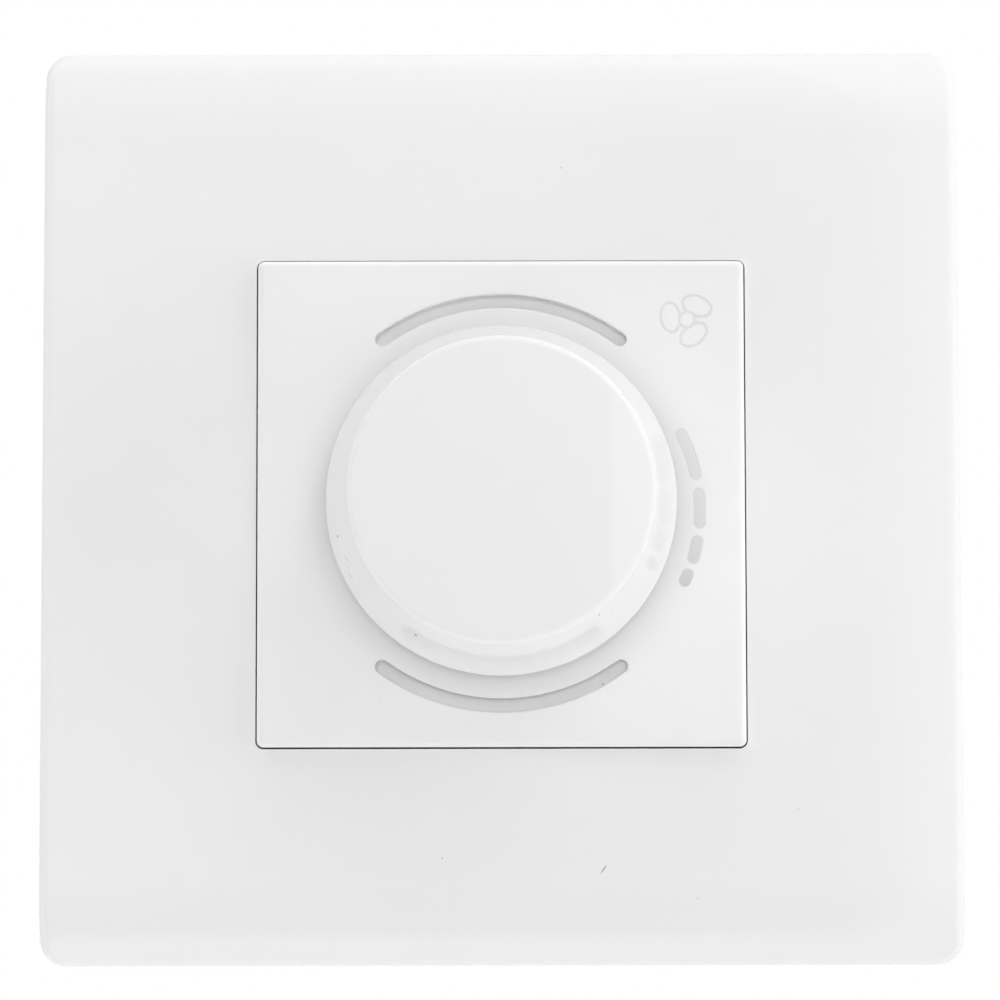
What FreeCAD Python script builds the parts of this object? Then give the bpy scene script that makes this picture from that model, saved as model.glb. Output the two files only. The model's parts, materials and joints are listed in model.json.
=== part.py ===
import FreeCAD, Part
import ast
import math
import operator
import os
import re
import Sketcher

# Fan speed control switch for a square wall box. All sizes are millimetres.
# X goes to the viewer's right, Y into the wall, Z up. The wall plane is Y = 0.
# A depth called "forward" is measured from the wall plane towards the viewer, along -Y.

SIZES = {
    # wall plate
    "plate_side": 86.0,
    "plate_height": 8.6,
    "plate_corner": 2.5,
    "plate_round": 1.0,
    "plate_wall": 1.8,
    "crown_start": 35.3,
    "crown_radius": 16.0,
    "collar_wall": 1.2,
    "catch_tall": 8.0,
    "catch_place": 24.0,
    "catch_hold": 0.5,
    "catch_deep": 1.2,
    # frame on the wall
    "frame_margin": 3.0,
    "frame_thick": 2.0,
    "flange_step": 2.5,
    "flange_lap": 1.3,
    "flange_thick": 1.6,
    "fixing_spacing": 60.3,
    "fixing_radius": 2.2,
    "fixing_slot": 7.4,
    "seat_gap": 0.3,
    # module front
    "panel_side": 45.5,
    "panel_gap": 0.15,
    "panel_proud": 1.1,
    "panel_thick": 2.6,
    "panel_corner": 0.6,
    "panel_round": 0.6,
    "skirt_wall": 1.3,
    "boss_radius": 3.0,
    "boss_long": 2.4,
    "groove_radius": 18.9,
    "groove_wide": 1.27,
    "groove_deep": 1.3,
    "groove_half_angle": 36.0,
    # marks on the module front
    "mark_across": 2.76,
    "mark_up": -0.82,
    "mark_radius": 15.72,
    "mark_wide": 1.06,
    "mark_top_angle": 26.9,
    "mark_gap": 0.82,
    "mark_gap_step": 0.13,
    "mark_long_first": 4.97,
    "mark_long_second": 3.77,
    "mark_long_third": 2.66,
    "mark_long_fourth": 1.7,
    "inlay_deep": 0.3,
    "symbol_across": 17.39,
    "symbol_up": 17.14,
    "symbol_hub": 0.74,
    "symbol_line": 0.16,
    "blade_long": 1.4,
    "blade_wide": 0.91,
    "blade_reach": 1.56,
    "blade_angle": 173.0,
    "blade_swirl": 14.0,
    # knob
    "knob_rim_radius": 16.4,
    "knob_top_radius": 13.86,
    "knob_height": 12.2,
    "knob_lift": 2.3,
    "knob_dome": 0.5,
    "knob_round": 0.65,
    "knob_rim_round": 0.3,
    "knob_wall": 1.7,
    "knob_top_wall": 2.2,
    "knob_boss_radius": 5.2,
    "knob_boss_inset": 0.4,
    "rib_thick": 1.0,
    "rib_tall": 5.0,
    "push_travel": 1.5,
    # shaft and its bearing
    "shaft_radius": 3.0,
    "shaft_flat": 1.5,
    "shaft_tip_gap": 0.4,
    "shaft_fit": 0.03,
    "knob_fit": 0.02,
    "drive_side": 4.0,
    "drive_fit": 0.05,
    "clip_thick": 0.5,
    "clip_radius": 4.4,
    "shoulder_long": 0.4,
    "bushing_radius": 3.5,
    "bushing_reach": 4.8,
    "flange_deep": 1.5,
    "nut_flats": 10.0,
    "nut_thick": 1.8,
    "washer_thick": 0.5,
    "washer_radius": 5.6,
    "hole_play": 0.1,
    # potentiometer
    "pot_radius": 8.25,
    "case_wall": 0.65,
    "rotor_radius": 6.4,
    "rotor_thick": 2.2,
    "rotor_lug_wide": 2.6,
    "stop_wide": 3.6,
    "running_gap": 0.3,
    "wiper_thick": 0.3,
    "wiper_wide": 2.0,
    "track_thick": 1.2,
    "track_hole": 3.2,
    "tongue_wide": 10.4,
    "terminal_pitch": 3.6,
    "pin_radius": 0.45,
    "pin_stand": 0.9,
    # switch behind the potentiometer
    "switch_wall": 1.0,
    "switch_back_wall": 0.75,
    "switch_inside": 6.6,
    "plunger_radius": 2.7,
    "plunger_flange": 4.2,
    "plunger_flange_deep": 0.8,
    "plunger_gap": 0.2,
    "stem_radius": 1.0,
    "stem_end": 0.3,
    "shaft_reach": 0.4,
    "bridge_long": 10.4,
    "bridge_wide": 2.4,
    "bridge_thick": 0.5,
    "contact_gap": 0.15,
    "contact_thick": 0.4,
    "contact_place": 4.2,
    "contact_radius": 0.9,
    "spring_radius": 1.7,
    "spring_wire": 0.15,
    "spring_turns": 3.5,
    # board and what stands on it
    "board_thick": 1.6,
    "board_gap": 0.45,
    "lead_radius": 0.35,
    "lead_stub": 0.8,
    "sink_thick": 1.5,
    "sink_gap": 0.65,
    "triac_wide": 9.8,
    "triac_long": 9.4,
    "triac_deep": 4.4,
    "triac_tab_long": 6.2,
    "triac_tab_thick": 1.3,
    "triac_pitch": 2.54,
    "triac_screw_radius": 1.5,
    "triac_head_radius": 2.7,
    "triac_head_deep": 1.8,
    "triac_slot_deep": 0.8,
    "triac_nut_flats": 5.5,
    "triac_nut_thick": 2.4,
    "triac_screw_end": 0.5,
    "film_wide": 6.4,
    "film_long": 13.0,
    "film_tall": 10.4,
    "timer_wide": 3.5,
    "timer_long": 6.6,
    "timer_tall": 6.5,
    "choke_radius": 4.0,
    "choke_core_radius": 1.6,
    "winding_thick": 0.6,
    "winding_fit": 0.08,
    "resistor_radius": 1.2,
    "resistor_long": 6.5,
    "resistor_span": 10.0,
    "resistor_apart": 4.4,
    "diac_radius": 0.95,
    "diac_long": 4.0,
    "diac_span": 6.4,
    "fuse_radius": 2.4,
    "fuse_long": 20.0,
    "fuse_cap_long": 5.0,
    "fuse_cap_wall": 0.25,
    "fuse_clip_long": 3.8,
    # terminals
    "terminal_wide": 23.0,
    "terminal_tall": 9.8,
    "terminal_deep": 8.4,
    "terminal_wall": 1.5,
    "cage_apart": 13.0,
    "cage_wide": 6.4,
    "wire_radius": 1.75,
    "wire_inset": 2.6,
    "window_margin": 0.8,
    "clamp_radius": 1.5,
    "clamp_head": 2.5,
    "clamp_head_deep": 1.5,
    # back box of the module
    "housing_gap": 0.3,
    "housing_wall": 1.6,
    "housing_back_wall": 2.0,
    "housing_corner": 1.5,
    "housing_round": 0.7,
    "column_radius": 3.5,
    "column_bite": 0.45,
    "post_radius": 1.6,
    "lug_wide": 10.0,
    "lug_reach": 1.1,
    "lug_deep": 3.0,
    "lug_play": 0.15,
    "screw_radius": 1.3,
    "screw_fit": 0.05,
    "screw_play": 0.2,
    "screw_head": 2.5,
    "screw_head_deep": 1.6,
    "screw_sink": 2.2,
    "pilot_deep": 3.4,
    "slot_wide": 0.7,
    "vent_tall": 1.8,
    "vent_pitch": 4.2,
    "vent_deep": 9.0,
}

# Sizes worked out from the ones above.
DERIVED = {
    "plate_half": "plate_side / 2",
    "crown_drop": "crown_radius - sqrt(crown_radius ^ 2 - (plate_half - crown_start) ^ 2)",
    "inner_half": "plate_half - plate_wall",
    "inner_bend": "crown_radius - plate_wall",
    "inner_drop": "inner_bend - sqrt(inner_bend ^ 2 - (inner_half - crown_start) ^ 2)",
    "inner_height": "plate_height - plate_wall",
    "panel_opening": "panel_side + 2 * panel_gap",
    "collar_back": "frame_thick + seat_gap",
    "collar_side": "panel_opening + 2 * collar_wall",
    "frame_side": "plate_side - 2 * frame_margin",
    "frame_base": "frame_side - 2 * flange_step",
    "flange_inside": "frame_base - 2 * flange_lap",
    "catch_back": "frame_thick - seat_gap - catch_deep",
    "catch_inner": "frame_side / 2 - catch_hold",
    "panel_face": "plate_height + panel_proud",
    "panel_back": "panel_face - panel_thick",
    "panel_inside": "panel_side - 2 * skirt_wall",
    "panel_hole": "nut_flats * 0.57735 + 0.6",
    "knob_rim": "panel_face + knob_lift",
    "knob_top": "knob_rim + knob_height",
    "knob_ceiling": "knob_top - knob_top_wall",
    "knob_boss_end": "knob_rim + knob_boss_inset",
    "dome_radius": "(knob_top_radius ^ 2 + knob_dome ^ 2) / (2 * knob_dome)",
    "sink_front": "panel_back - boss_long",
    "sink_back": "sink_front - sink_thick",
    "nut_back": "sink_front + washer_thick",
    "bushing_front": "sink_front + bushing_reach",
    "flange_back": "sink_back - flange_deep",
    "clip_front": "flange_back - hole_play",
    "clip_back": "clip_front - clip_thick",
    "shoulder_front": "clip_back - 0.05",
    "shoulder_back": "shoulder_front - shoulder_long",
    "shaft_tip": "knob_ceiling - shaft_tip_gap",
    "rotor_front": "shoulder_back - push_travel - running_gap",
    "rotor_back": "rotor_front - rotor_thick",
    "wiper_back": "rotor_back - wiper_thick",
    "track_front": "wiper_back - running_gap",
    "track_back": "track_front - track_thick",
    "case_inside": "pot_radius - case_wall",
    "pin_place": "pot_radius + pin_stand",
    "shaft_end": "track_back - shaft_reach",
    "flange_front": "track_back - switch_wall - plunger_gap",
    "bridge_front": "flange_front - plunger_flange_deep",
    "bridge_back": "bridge_front - bridge_thick",
    "contact_front": "bridge_back - push_travel - contact_gap",
    "switch_floor": "contact_front - contact_thick",
    "board_front": "switch_floor - switch_back_wall",
    "board_back": "board_front - board_thick",
    "lead_end": "board_back - lead_stub",
    "terminal_front": "lead_end - 0.4",
    "terminal_back": "terminal_front - terminal_deep",
    "housing_side": "panel_inside - 2 * housing_gap",
    "housing_inside": "housing_side - 2 * housing_wall",
    "housing_half": "housing_inside / 2",
    "housing_back": "terminal_back - housing_back_wall",
    "frame_opening": "housing_side + 2 * housing_gap",
    "column_place": "housing_half + column_bite - column_radius",
    "board_side": "housing_inside - 2 * board_gap",
    "board_notch": "board_side / 2 - column_place + column_radius + 0.3",
    "sink_side": "housing_inside - 2 * sink_gap",
    "lane": "(pot_radius + housing_half) / 2",
    "triac_screw_place": "triac_tab_long / 2",
    "triac_tab_back": "sink_back - triac_tab_thick",
    "triac_nut_back": "triac_tab_back - triac_nut_thick",
    "triac_lead_place": "triac_long + 1.5",
    "film_place": "film_long / 2 - 5",
    "timer_place": "timer_long / 2 + 5.5",
    "choke_middle": "board_front + choke_radius + choke_core_radius + winding_thick + 0.05",
    "winding_radius": "choke_core_radius + winding_thick",
    "diac_middle": "resistor_span / 2 + diac_span / 2 + 0.4",
    "fuse_middle": "board_front + fuse_radius + fuse_cap_wall + 0.75",
    "fuse_clip_place": "fuse_long / 2 - fuse_cap_long / 2",
    "terminal_place": "-(housing_half - 0.45 - terminal_tall / 2)",
    "cage_tall": "terminal_tall - 2 * terminal_wall",
    "cage_front": "terminal_front - 0.4",
    "cage_back": "terminal_back + terminal_wall",
    "wire_forward": "cage_front - wire_inset",
    "clamp_tip": "wire_forward - wire_radius - 0.2",
    "screw_seat": "housing_back + screw_sink",
    "post_side": "housing_half - post_radius - 0.6",
}

doc = FreeCAD.newDocument("fan_switch")
DIMS = doc.addObject("Spreadsheet::Sheet", "Dims")
NORMAL = FreeCAD.Vector(0, 0, 1)
STEPS = {
    ast.Add: operator.add,
    ast.Sub: operator.sub,
    ast.Mult: operator.mul,
    ast.Div: operator.truediv,
    ast.BitXor: operator.pow,
}


def fill_sheet():
    """Write every size into the sheet under its own name."""
    for row, (name, value) in enumerate(SIZES.items(), start=1):
        DIMS.set("A%d" % row, name)
        DIMS.set("B%d" % row, str(value))
        DIMS.setAlias("B%d" % row, name)
    doc.recompute()


def formula(text):
    """Write a formula out in full, with every size taken from the sheet."""

    def swap(found):
        word = found.group(0)
        if word in SIZES:
            return "Dims." + word
        if word in DERIVED:
            return "(" + formula(DERIVED[word]) + ")"
        return word

    return re.sub(r"[a-z_]+", swap, text)


def measure(branch):
    """Work out one branch of a formula from the sheet's present values."""
    if isinstance(branch, ast.Constant):
        return branch.value
    if isinstance(branch, ast.UnaryOp):
        return -measure(branch.operand)
    if isinstance(branch, ast.Call):
        return math.sqrt(measure(branch.args[0]))
    if isinstance(branch, ast.Name):
        if branch.id in SIZES:
            return float(DIMS.get(branch.id))
        return number(DERIVED[branch.id])
    return STEPS[type(branch.op)](measure(branch.left), measure(branch.right))


def number(text):
    """The value of a formula; a power sign is read with its own brackets."""
    tidy = re.sub(r"(\w+|\([^()]*\)) \^ 2", r"(\1 ^ 2)", text.strip())
    return measure(ast.parse(tidy).body[0].value)


def bind(item, target, text):
    """Tie a property of an object to a formula."""
    item.setExpression(target, formula(text))


def place(item, x, z, forward, facing="front", turn="0"):
    """Put an object at X, Z and a forward depth, with its own long axis facing one way."""
    spins = {
        "front": "0; -(%s); 90" % formula(turn),
        "up": "%s; 0; 0" % formula(turn),
        "right": "0; 90; 0",
    }
    spot = "vector(%s; -(%s); %s)" % (formula(x), formula(forward), formula(z))
    item.setExpression("Placement", "placement(%s; rotation(%s))" % (spot, spins[facing]))
    return item


def block(name, wide, tall, deep, x, z, forward):
    """A box, centred on X and Z, that grows forward from its given depth."""
    item = doc.addObject("Part::Box", name)
    bind(item, "Length", wide)
    bind(item, "Width", tall)
    bind(item, "Height", deep)
    return place(item, "%s - (%s) / 2" % (x, wide), "%s - (%s) / 2" % (z, tall), forward)


def rod(name, radius, length, x, z, forward, facing="front", turn="0", sweep="360"):
    """A cylinder that starts at its given place and runs the way it faces."""
    item = doc.addObject("Part::Cylinder", name)
    bind(item, "Radius", radius)
    bind(item, "Height", length)
    bind(item, "Angle", sweep)
    return place(item, x, z, forward, facing, turn)


def hexagon(name, flats, length, x, z, forward):
    """A six-sided prism, sized across its flats."""
    item = doc.addObject("Part::Prism", name)
    item.Polygon = 6
    bind(item, "Circumradius", "(%s) / sqrt(3)" % flats)
    bind(item, "Height", length)
    return place(item, x, z, forward)


def doughnut(name, radius, thickness, sweep, x, z, forward):
    """A ring of round section that stands up on its edge, its axis along Z."""
    item = doc.addObject("Part::Torus", name)
    bind(item, "Radius1", radius)
    bind(item, "Radius2", thickness)
    bind(item, "Angle3", sweep)
    return place(item, x, z, forward, "up", "(360 - (%s)) / 2 - 270" % sweep)


def fuse(name, pieces):
    """Several touching pieces as one."""
    item = doc.addObject("Part::MultiFuse", name)
    item.Shapes = pieces
    return item


def group(name, pieces):
    """Several separate pieces of one kind under one name."""
    item = doc.addObject("Part::Compound", name)
    item.Links = pieces
    return item


def cut(name, base, tools):
    """A piece with other shapes taken out of it."""
    item = doc.addObject("Part::Cut", name)
    item.Base = base
    item.Tool = tools[0] if len(tools) == 1 else fuse(name + "_tools", tools)
    return item


def pin_point(drawing, edge, end, across, up):
    """Hold one point of a drawing at two formulas measured from its origin."""
    for kind, axis, text in (("DistanceX", -2, across), ("DistanceY", -1, up)):
        if text == "0":
            drawing.addConstraint(Sketcher.Constraint("PointOnObject", edge, end, axis))
        else:
            rule = Sketcher.Constraint(kind, -1, 1, edge, end, number(text))
            bind(drawing, "Constraints[%d]" % drawing.addConstraint(rule), text)


def add_circle(drawing, across, up, radius):
    """A circle whose centre and radius are formulas."""
    middle = FreeCAD.Vector(number(across), number(up), 0)
    edge = drawing.addGeometry(Part.Circle(middle, NORMAL, number(radius)))
    rule = Sketcher.Constraint("Radius", edge, number(radius))
    bind(drawing, "Constraints[%d]" % drawing.addConstraint(rule), radius)
    pin_point(drawing, edge, 3, across, up)


def add_arc(drawing, start, stop, radius, side):
    """An arc between two points that turns to one side; returns its edge and both ends."""
    bend = number(radius)
    chord = stop - start
    inward = FreeCAD.Vector(-chord.y, chord.x, 0).normalize()
    if side == "right":
        inward = -inward
    rise = math.sqrt(bend ** 2 - (chord.Length / 2) ** 2)
    middle = (start + stop) / 2 + inward * rise
    first, last = (start, stop) if side == "left" else (stop, start)
    begin = math.atan2(first.y - middle.y, first.x - middle.x)
    finish = math.atan2(last.y - middle.y, last.x - middle.x)
    edge = drawing.addGeometry(Part.ArcOfCircle(Part.Circle(middle, NORMAL, bend), begin, finish))
    rule = Sketcher.Constraint("Radius", edge, bend)
    bind(drawing, "Constraints[%d]" % drawing.addConstraint(rule), radius)
    return (edge, 1, 2) if side == "left" else (edge, 2, 1)


def add_loop(drawing, corners):
    """A closed outline; a corner with a radius and a side starts an arc to the next corner."""
    spots = [FreeCAD.Vector(number(corner[0]), number(corner[1]), 0) for corner in corners]
    count = len(corners)
    edges = []
    for index, corner in enumerate(corners):
        start = spots[index]
        stop = spots[(index + 1) % count]
        if len(corner) == 4:
            edges.append(add_arc(drawing, start, stop, corner[2], corner[3]))
        else:
            edges.append((drawing.addGeometry(Part.LineSegment(start, stop)), 1, 2))
    for index, corner in enumerate(corners):
        edge, first, last = edges[index]
        after = edges[(index + 1) % count]
        drawing.addConstraint(Sketcher.Constraint("Coincident", edge, last, after[0], after[1]))
        pin_point(drawing, edge, first, corner[0], corner[1])


def rectangle(left, right, low, high):
    """The four corners of a rectangle."""
    return [(left, low), (right, low), (right, high), (left, high)]


def square(side):
    """The four corners of a square about the middle."""
    half = "(%s) / 2" % side
    return rectangle("-" + half, half, "-" + half, half)


def sketch(body, name, plane, forward, loops=(), circles=()):
    """A drawing on one of the body's own planes, moved forward from it."""
    roles = {item.Role: item for item in body.Origin.OriginFeatures}
    drawing = body.newObject("Sketcher::SketchObject", name)
    drawing.AttachmentSupport = [(roles[plane], "")]
    drawing.MapMode = "FlatFace"
    bind(drawing, "AttachmentOffset.Base.z", forward)
    for loop in loops:
        add_loop(drawing, loop)
    for across, up, radius in circles:
        add_circle(drawing, across, up, radius)
    return drawing


def pad(body, name, profile, length, both_ways=False):
    """Grow a drawing into a solid, forward or to both sides."""
    feature = body.newObject("PartDesign::Pad", name)
    feature.Profile = profile
    feature.SideType = "Symmetric" if both_ways else "One side"
    bind(feature, "Length", length)
    doc.recompute()
    return feature


def pocket(body, name, profile, depth, both_ways=False):
    """Cut a drawing away, forward or to both sides."""
    feature = body.newObject("PartDesign::Pocket", name)
    feature.Profile = profile
    feature.SideType = "Symmetric" if both_ways else "One side"
    feature.Reversed = not both_ways
    bind(feature, "Length", depth)
    doc.recompute()
    return feature


def round_edges(body, name, chosen, radius):
    """Round the edges of the body so far that a test picks out."""
    base = body.Tip
    names = ["Edge%d" % place for place, edge in enumerate(base.Shape.Edges, start=1) if chosen(edge)]
    feature = body.newObject("PartDesign::Fillet", name)
    feature.Base = (base, names)
    bind(feature, "Radius", radius)
    doc.recompute()
    return feature


def near(value, text, slack=0.01):
    """Whether a measured value is the value of a formula."""
    return abs(value - number(text)) < slack


def runs_forward_at(edge, half):
    """Whether an edge runs straight forward at a square's corner."""
    box = edge.BoundBox
    straight = box.XLength < 0.01 and box.ZLength < 0.01 and box.YLength > 0.5
    return straight and near(abs(box.Center.x), half) and near(abs(box.Center.z), half)


def lies_at(edge, forward):
    """Whether an edge lies wholly at one forward depth."""
    box = edge.BoundBox
    return box.YLength < 0.01 and near(-box.Center.y, forward)


def beyond(edge, half):
    """Whether an edge lies on or outside a square about the middle."""
    box = edge.BoundBox
    return max(abs(box.Center.x), abs(box.Center.z)) > number(half) - 0.01


def new_body(name):
    """An empty body."""
    return doc.addObject("PartDesign::Body", name)


def four(place_across, place_up=None):
    """The four mirrored places of one point."""
    up = place_up or place_across
    return [
        (sign + place_across, other + up)
        for sign in ("", "-")
        for other in ("", "-")
    ]


def crowned(half, height, drop, bend):
    """Side outline of the plate: a flat front whose two ends bend back to the wall."""
    edge = "-(%s - %s)" % (height, drop)
    front = "-(%s)" % height
    return [
        ("0", "-" + half),
        (edge, "-" + half, bend, "right"),
        (front, "-crown_start"),
        (front, "crown_start", bend, "right"),
        (edge, half),
        ("0", half),
    ]


def make_face_plate():
    """Wall plate: crowned shell with a collared square opening and four snap catches."""
    body = new_body("face_plate")
    outer = crowned("plate_half", "plate_height", "crown_drop", "crown_radius")
    outline = sketch(body, "plate_outline", "YZ_Plane", "0", [outer])
    pad(body, "plate_solid", outline, "plate_side", both_ways=True)
    round_edges(body, "plate_corners", lambda edge: runs_forward_at(edge, "plate_half"), "plate_corner")
    rim = "plate_half - plate_corner"
    round_edges(
        body,
        "plate_front_round",
        lambda edge: beyond(edge, rim) and edge.BoundBox.YMax < -0.5 and edge.BoundBox.YLength < 4,
        "plate_round",
    )
    inner = crowned("inner_half", "inner_height", "inner_drop", "inner_bend")
    hollow = sketch(body, "plate_hollow", "YZ_Plane", "0", [inner])
    pocket(body, "plate_inside", hollow, "2 * inner_half", both_ways=True)
    collar = sketch(body, "collar_outline", "XZ_Plane", "collar_back", [square("collar_side")])
    pad(body, "collar", collar, "plate_height - plate_wall / 2 - collar_back")
    opening = sketch(body, "opening_outline", "XZ_Plane", "collar_back - 1", [square("panel_opening")])
    pocket(body, "opening", opening, "plate_height")
    half = "panel_opening / 2"
    round_edges(
        body,
        "opening_corners",
        lambda edge: runs_forward_at(edge, half),
        "panel_corner + panel_gap",
    )
    catches = []
    for sign in ("", "-"):
        for side in ("", "-"):
            low = "%scatch_place - catch_tall / 2" % sign
            high = "%scatch_place + catch_tall / 2" % sign
            catches.append(rectangle(side + "catch_inner", side + "(inner_half + 0.4)", low, high))
    catch = sketch(body, "catch_outline", "XZ_Plane", "catch_back", catches)
    pad(body, "catches", catch, "catch_deep")
    return body


def make_mounting_frame():
    """Frame screwed to the wall box: a slab with a raised flange that the plate snaps over."""
    body = new_body("frame_blank")
    slab = sketch(body, "slab_outline", "XZ_Plane", "0", [square("frame_base")])
    pad(body, "slab", slab, "frame_thick")
    ring = [square("frame_side"), square("flange_inside")]
    flange = sketch(body, "flange_outline", "XZ_Plane", "frame_thick", ring)
    pad(body, "flange", flange, "flange_thick")
    window = sketch(body, "window_outline", "XZ_Plane", "0", [square("frame_opening")])
    pocket(body, "window", window, "frame_thick")
    tools = []
    straight = "fixing_slot - 2 * fixing_radius"
    for side in ("", "-"):
        middle = side + "fixing_spacing / 2"
        tools.append(block("fixing_gap", straight, "2 * fixing_radius", "frame_thick", middle, "0", "0"))
        for end in ("+", "-"):
            spot = "%s %s (%s) / 2" % (middle, end, straight)
            tools.append(rod("fixing_end", "fixing_radius", "frame_thick", spot, "0", "0"))
    return cut("mounting_frame", body, tools)


def bent_slot(name, radius, wide, start, sweep, deep, forward, middle=("0", "0")):
    """A slot of even width along part of a circle about a middle point, with round ends."""
    half = "%s / 2" % wide
    outer = rod(
        name + "_outer", "%s + %s" % (radius, half), deep, *middle, forward, turn=start, sweep=sweep
    )
    inner = rod(name + "_inner", "%s - %s" % (radius, half), deep, *middle, forward)
    ends = [cut(name + "_band", outer, [inner])]
    for angle in (start, "%s + %s" % (start, sweep)):
        across = "%s + %s * cos(%s)" % (middle[0], radius, angle)
        up = "%s + %s * sin(%s)" % (middle[1], radius, angle)
        ends.append(rod(name + "_end", half, deep, across, up, forward))
    return fuse(name, ends)


def make_speed_marks():
    """Four filled marks in a row beside the knob, longest and widest apart at the top."""
    turn = "57.29578 / mark_radius"
    forward = "panel_face - inlay_deep"
    middle = ("mark_across", "mark_up")
    marks = []
    angle = "mark_top_angle"
    for step, place_in_row in enumerate(("first", "second", "third", "fourth")):
        sweep = "(mark_long_%s - mark_wide) * %s" % (place_in_row, turn)
        start = "%s - %s" % (angle, sweep)
        marks.append(
            bent_slot("mark", "mark_radius", "mark_wide", start, sweep, "inlay_deep", forward, middle)
        )
        gap = "mark_gap - %d * mark_gap_step" % step
        angle = "%s - (mark_wide + %s) * %s" % (start, gap, turn)
    return group("speed_marks", marks)


def oval(name, grow, angle):
    """One blade of the fan symbol as a filled oval."""
    curve = doc.addObject("Part::Ellipse", name + "_curve")
    bind(curve, "MajorRadius", "blade_long %s symbol_line / 2" % grow)
    bind(curve, "MinorRadius", "blade_wide %s symbol_line / 2" % grow)
    across = "symbol_across + blade_reach * cos(%s)" % angle
    up = "symbol_up + blade_reach * sin(%s)" % angle
    place(curve, across, up, "panel_face - inlay_deep", turn="%s + 90 + blade_swirl" % angle)
    item = doc.addObject("Part::Extrusion", name)
    item.Base = curve
    item.DirMode = "Normal"
    item.Reversed = True
    item.Solid = True
    bind(item, "LengthFwd", "inlay_deep")
    return item


def make_fan_symbol():
    """Thin filled outline of a hub and three blades."""
    forward = "panel_face - inlay_deep"
    middle = ("symbol_across", "symbol_up", forward)
    outer = []
    inner = []
    for step in ("0", "120", "240"):
        outer.append(oval("blade_outer", "+", "(blade_angle + %s)" % step))
        inner.append(oval("blade_inner", "-", "(blade_angle + %s)" % step))
    hub_clear = rod("hub_clear", "symbol_hub + symbol_line / 2 - 0.02", "inlay_deep", *middle)
    blades = cut("blade_lines", fuse("blade_ovals", outer), inner + [hub_clear])
    hub = rod("hub_outer", "symbol_hub + symbol_line / 2", "inlay_deep", *middle)
    hole = rod("hub_inner", "symbol_hub - symbol_line / 2", "inlay_deep", *middle)
    return fuse("fan_symbol", [blades, cut("hub_line", hub, [hole])])


def make_centre_panel(inlays):
    """Module front: a skirted square with four screw bosses, two bent grooves and the inlay beds."""
    body = new_body("panel_blank")
    outline = sketch(body, "panel_outline", "XZ_Plane", "frame_thick", [square("panel_side")])
    pad(body, "panel_solid", outline, "panel_face - frame_thick")
    half = "panel_side / 2"
    round_edges(body, "panel_corners", lambda edge: runs_forward_at(edge, half), "panel_corner")
    round_edges(body, "panel_front_round", lambda edge: lies_at(edge, "panel_face"), "panel_round")
    hollow = sketch(body, "panel_hollow", "XZ_Plane", "frame_thick", [square("panel_inside")])
    pocket(body, "panel_cavity", hollow, "panel_back - frame_thick")
    places = four("column_place")
    bosses = [(x, z, "boss_radius") for x, z in places]
    pad(
        body,
        "bosses",
        sketch(body, "boss_outline", "XZ_Plane", "sink_front", circles=bosses),
        "boss_long + 0.3",
    )
    pilots = [(x, z, "screw_radius + screw_fit") for x, z in places]
    drilled = sketch(body, "pilot_outline", "XZ_Plane", "sink_front", circles=pilots)
    pocket(body, "pilots", drilled, "pilot_deep")
    hole = sketch(
        body, "shaft_hole_outline", "XZ_Plane", "panel_back - 1", circles=[("0", "0", "panel_hole")]
    )
    pocket(body, "shaft_hole", hole, "panel_thick + 2")
    grooves = []
    for start in ("90 - groove_half_angle", "270 - groove_half_angle"):
        bottom = "panel_face - groove_deep"
        sweep = "2 * groove_half_angle"
        grooves.append(
            bent_slot("groove", "groove_radius", "groove_wide", start, sweep, "groove_deep", bottom)
        )
    return cut("centre_panel", body, grooves + inlays)


def flatted_rod(name, radius, flat, length, forward):
    """A round rod with one flat along its top."""
    blank = rod(name + "_blank", radius, length, "0", "0", forward)
    waste = block(
        name + "_waste",
        "3 * (%s)" % radius,
        radius,
        length,
        "0",
        "%s + (%s) / 2" % (flat, radius),
        forward,
    )
    return cut(name, blank, [waste])


def make_knob():
    """Hollow tapered knob with a slightly domed top, inner ribs and a flatted bore."""
    body = new_body("knob_blank")
    outline = [
        ("0", "-knob_top", "dome_radius", "left"),
        ("knob_top_radius", "-(knob_top - knob_dome)"),
        ("knob_rim_radius", "-knob_rim"),
        ("knob_rim_radius - knob_wall", "-knob_rim"),
        ("knob_top_radius - knob_wall", "-knob_ceiling"),
        ("knob_boss_radius", "-knob_ceiling"),
        ("knob_boss_radius", "-knob_boss_end"),
        ("0", "-knob_boss_end"),
    ]
    profile = sketch(body, "knob_outline", "XY_Plane", "0", [outline])
    turned = body.newObject("PartDesign::Revolution", "knob_turned")
    turned.Profile = profile
    roles = {item.Role: item for item in body.Origin.OriginFeatures}
    turned.ReferenceAxis = (roles["Y_Axis"], [""])
    turned.Angle = 360
    doc.recompute()
    edge_top = "knob_top - knob_dome"
    round_edges(body, "knob_top_round", lambda edge: lies_at(edge, edge_top), "knob_round")
    round_edges(
        body,
        "knob_rim_rounds",
        lambda edge: lies_at(edge, "knob_rim") and beyond(edge, "0"),
        "knob_rim_round",
    )
    reach = "knob_top_radius - knob_wall + 0.3"
    corners = rectangle("knob_boss_radius - 0.3", reach, "-rib_thick / 2", "rib_thick / 2")
    flat = sketch(body, "rib_outline", "XZ_Plane", "knob_ceiling - rib_tall", [corners])
    rib = pad(body, "rib", flat, "rib_tall + 0.3")
    ring = body.newObject("PartDesign::PolarPattern", "ribs")
    ring.Originals = [rib]
    ring.Axis = (roles["Y_Axis"], [""])
    ring.Angle = 360
    ring.Occurrences = 6
    body.Tip = ring
    doc.recompute()
    depth = "shaft_tip + 0.2 - knob_boss_end"
    bore = flatted_rod(
        "knob_bore", "shaft_radius + knob_fit", "shaft_flat + knob_fit", depth, "knob_boss_end"
    )
    return cut("knob", body, [bore])


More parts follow.
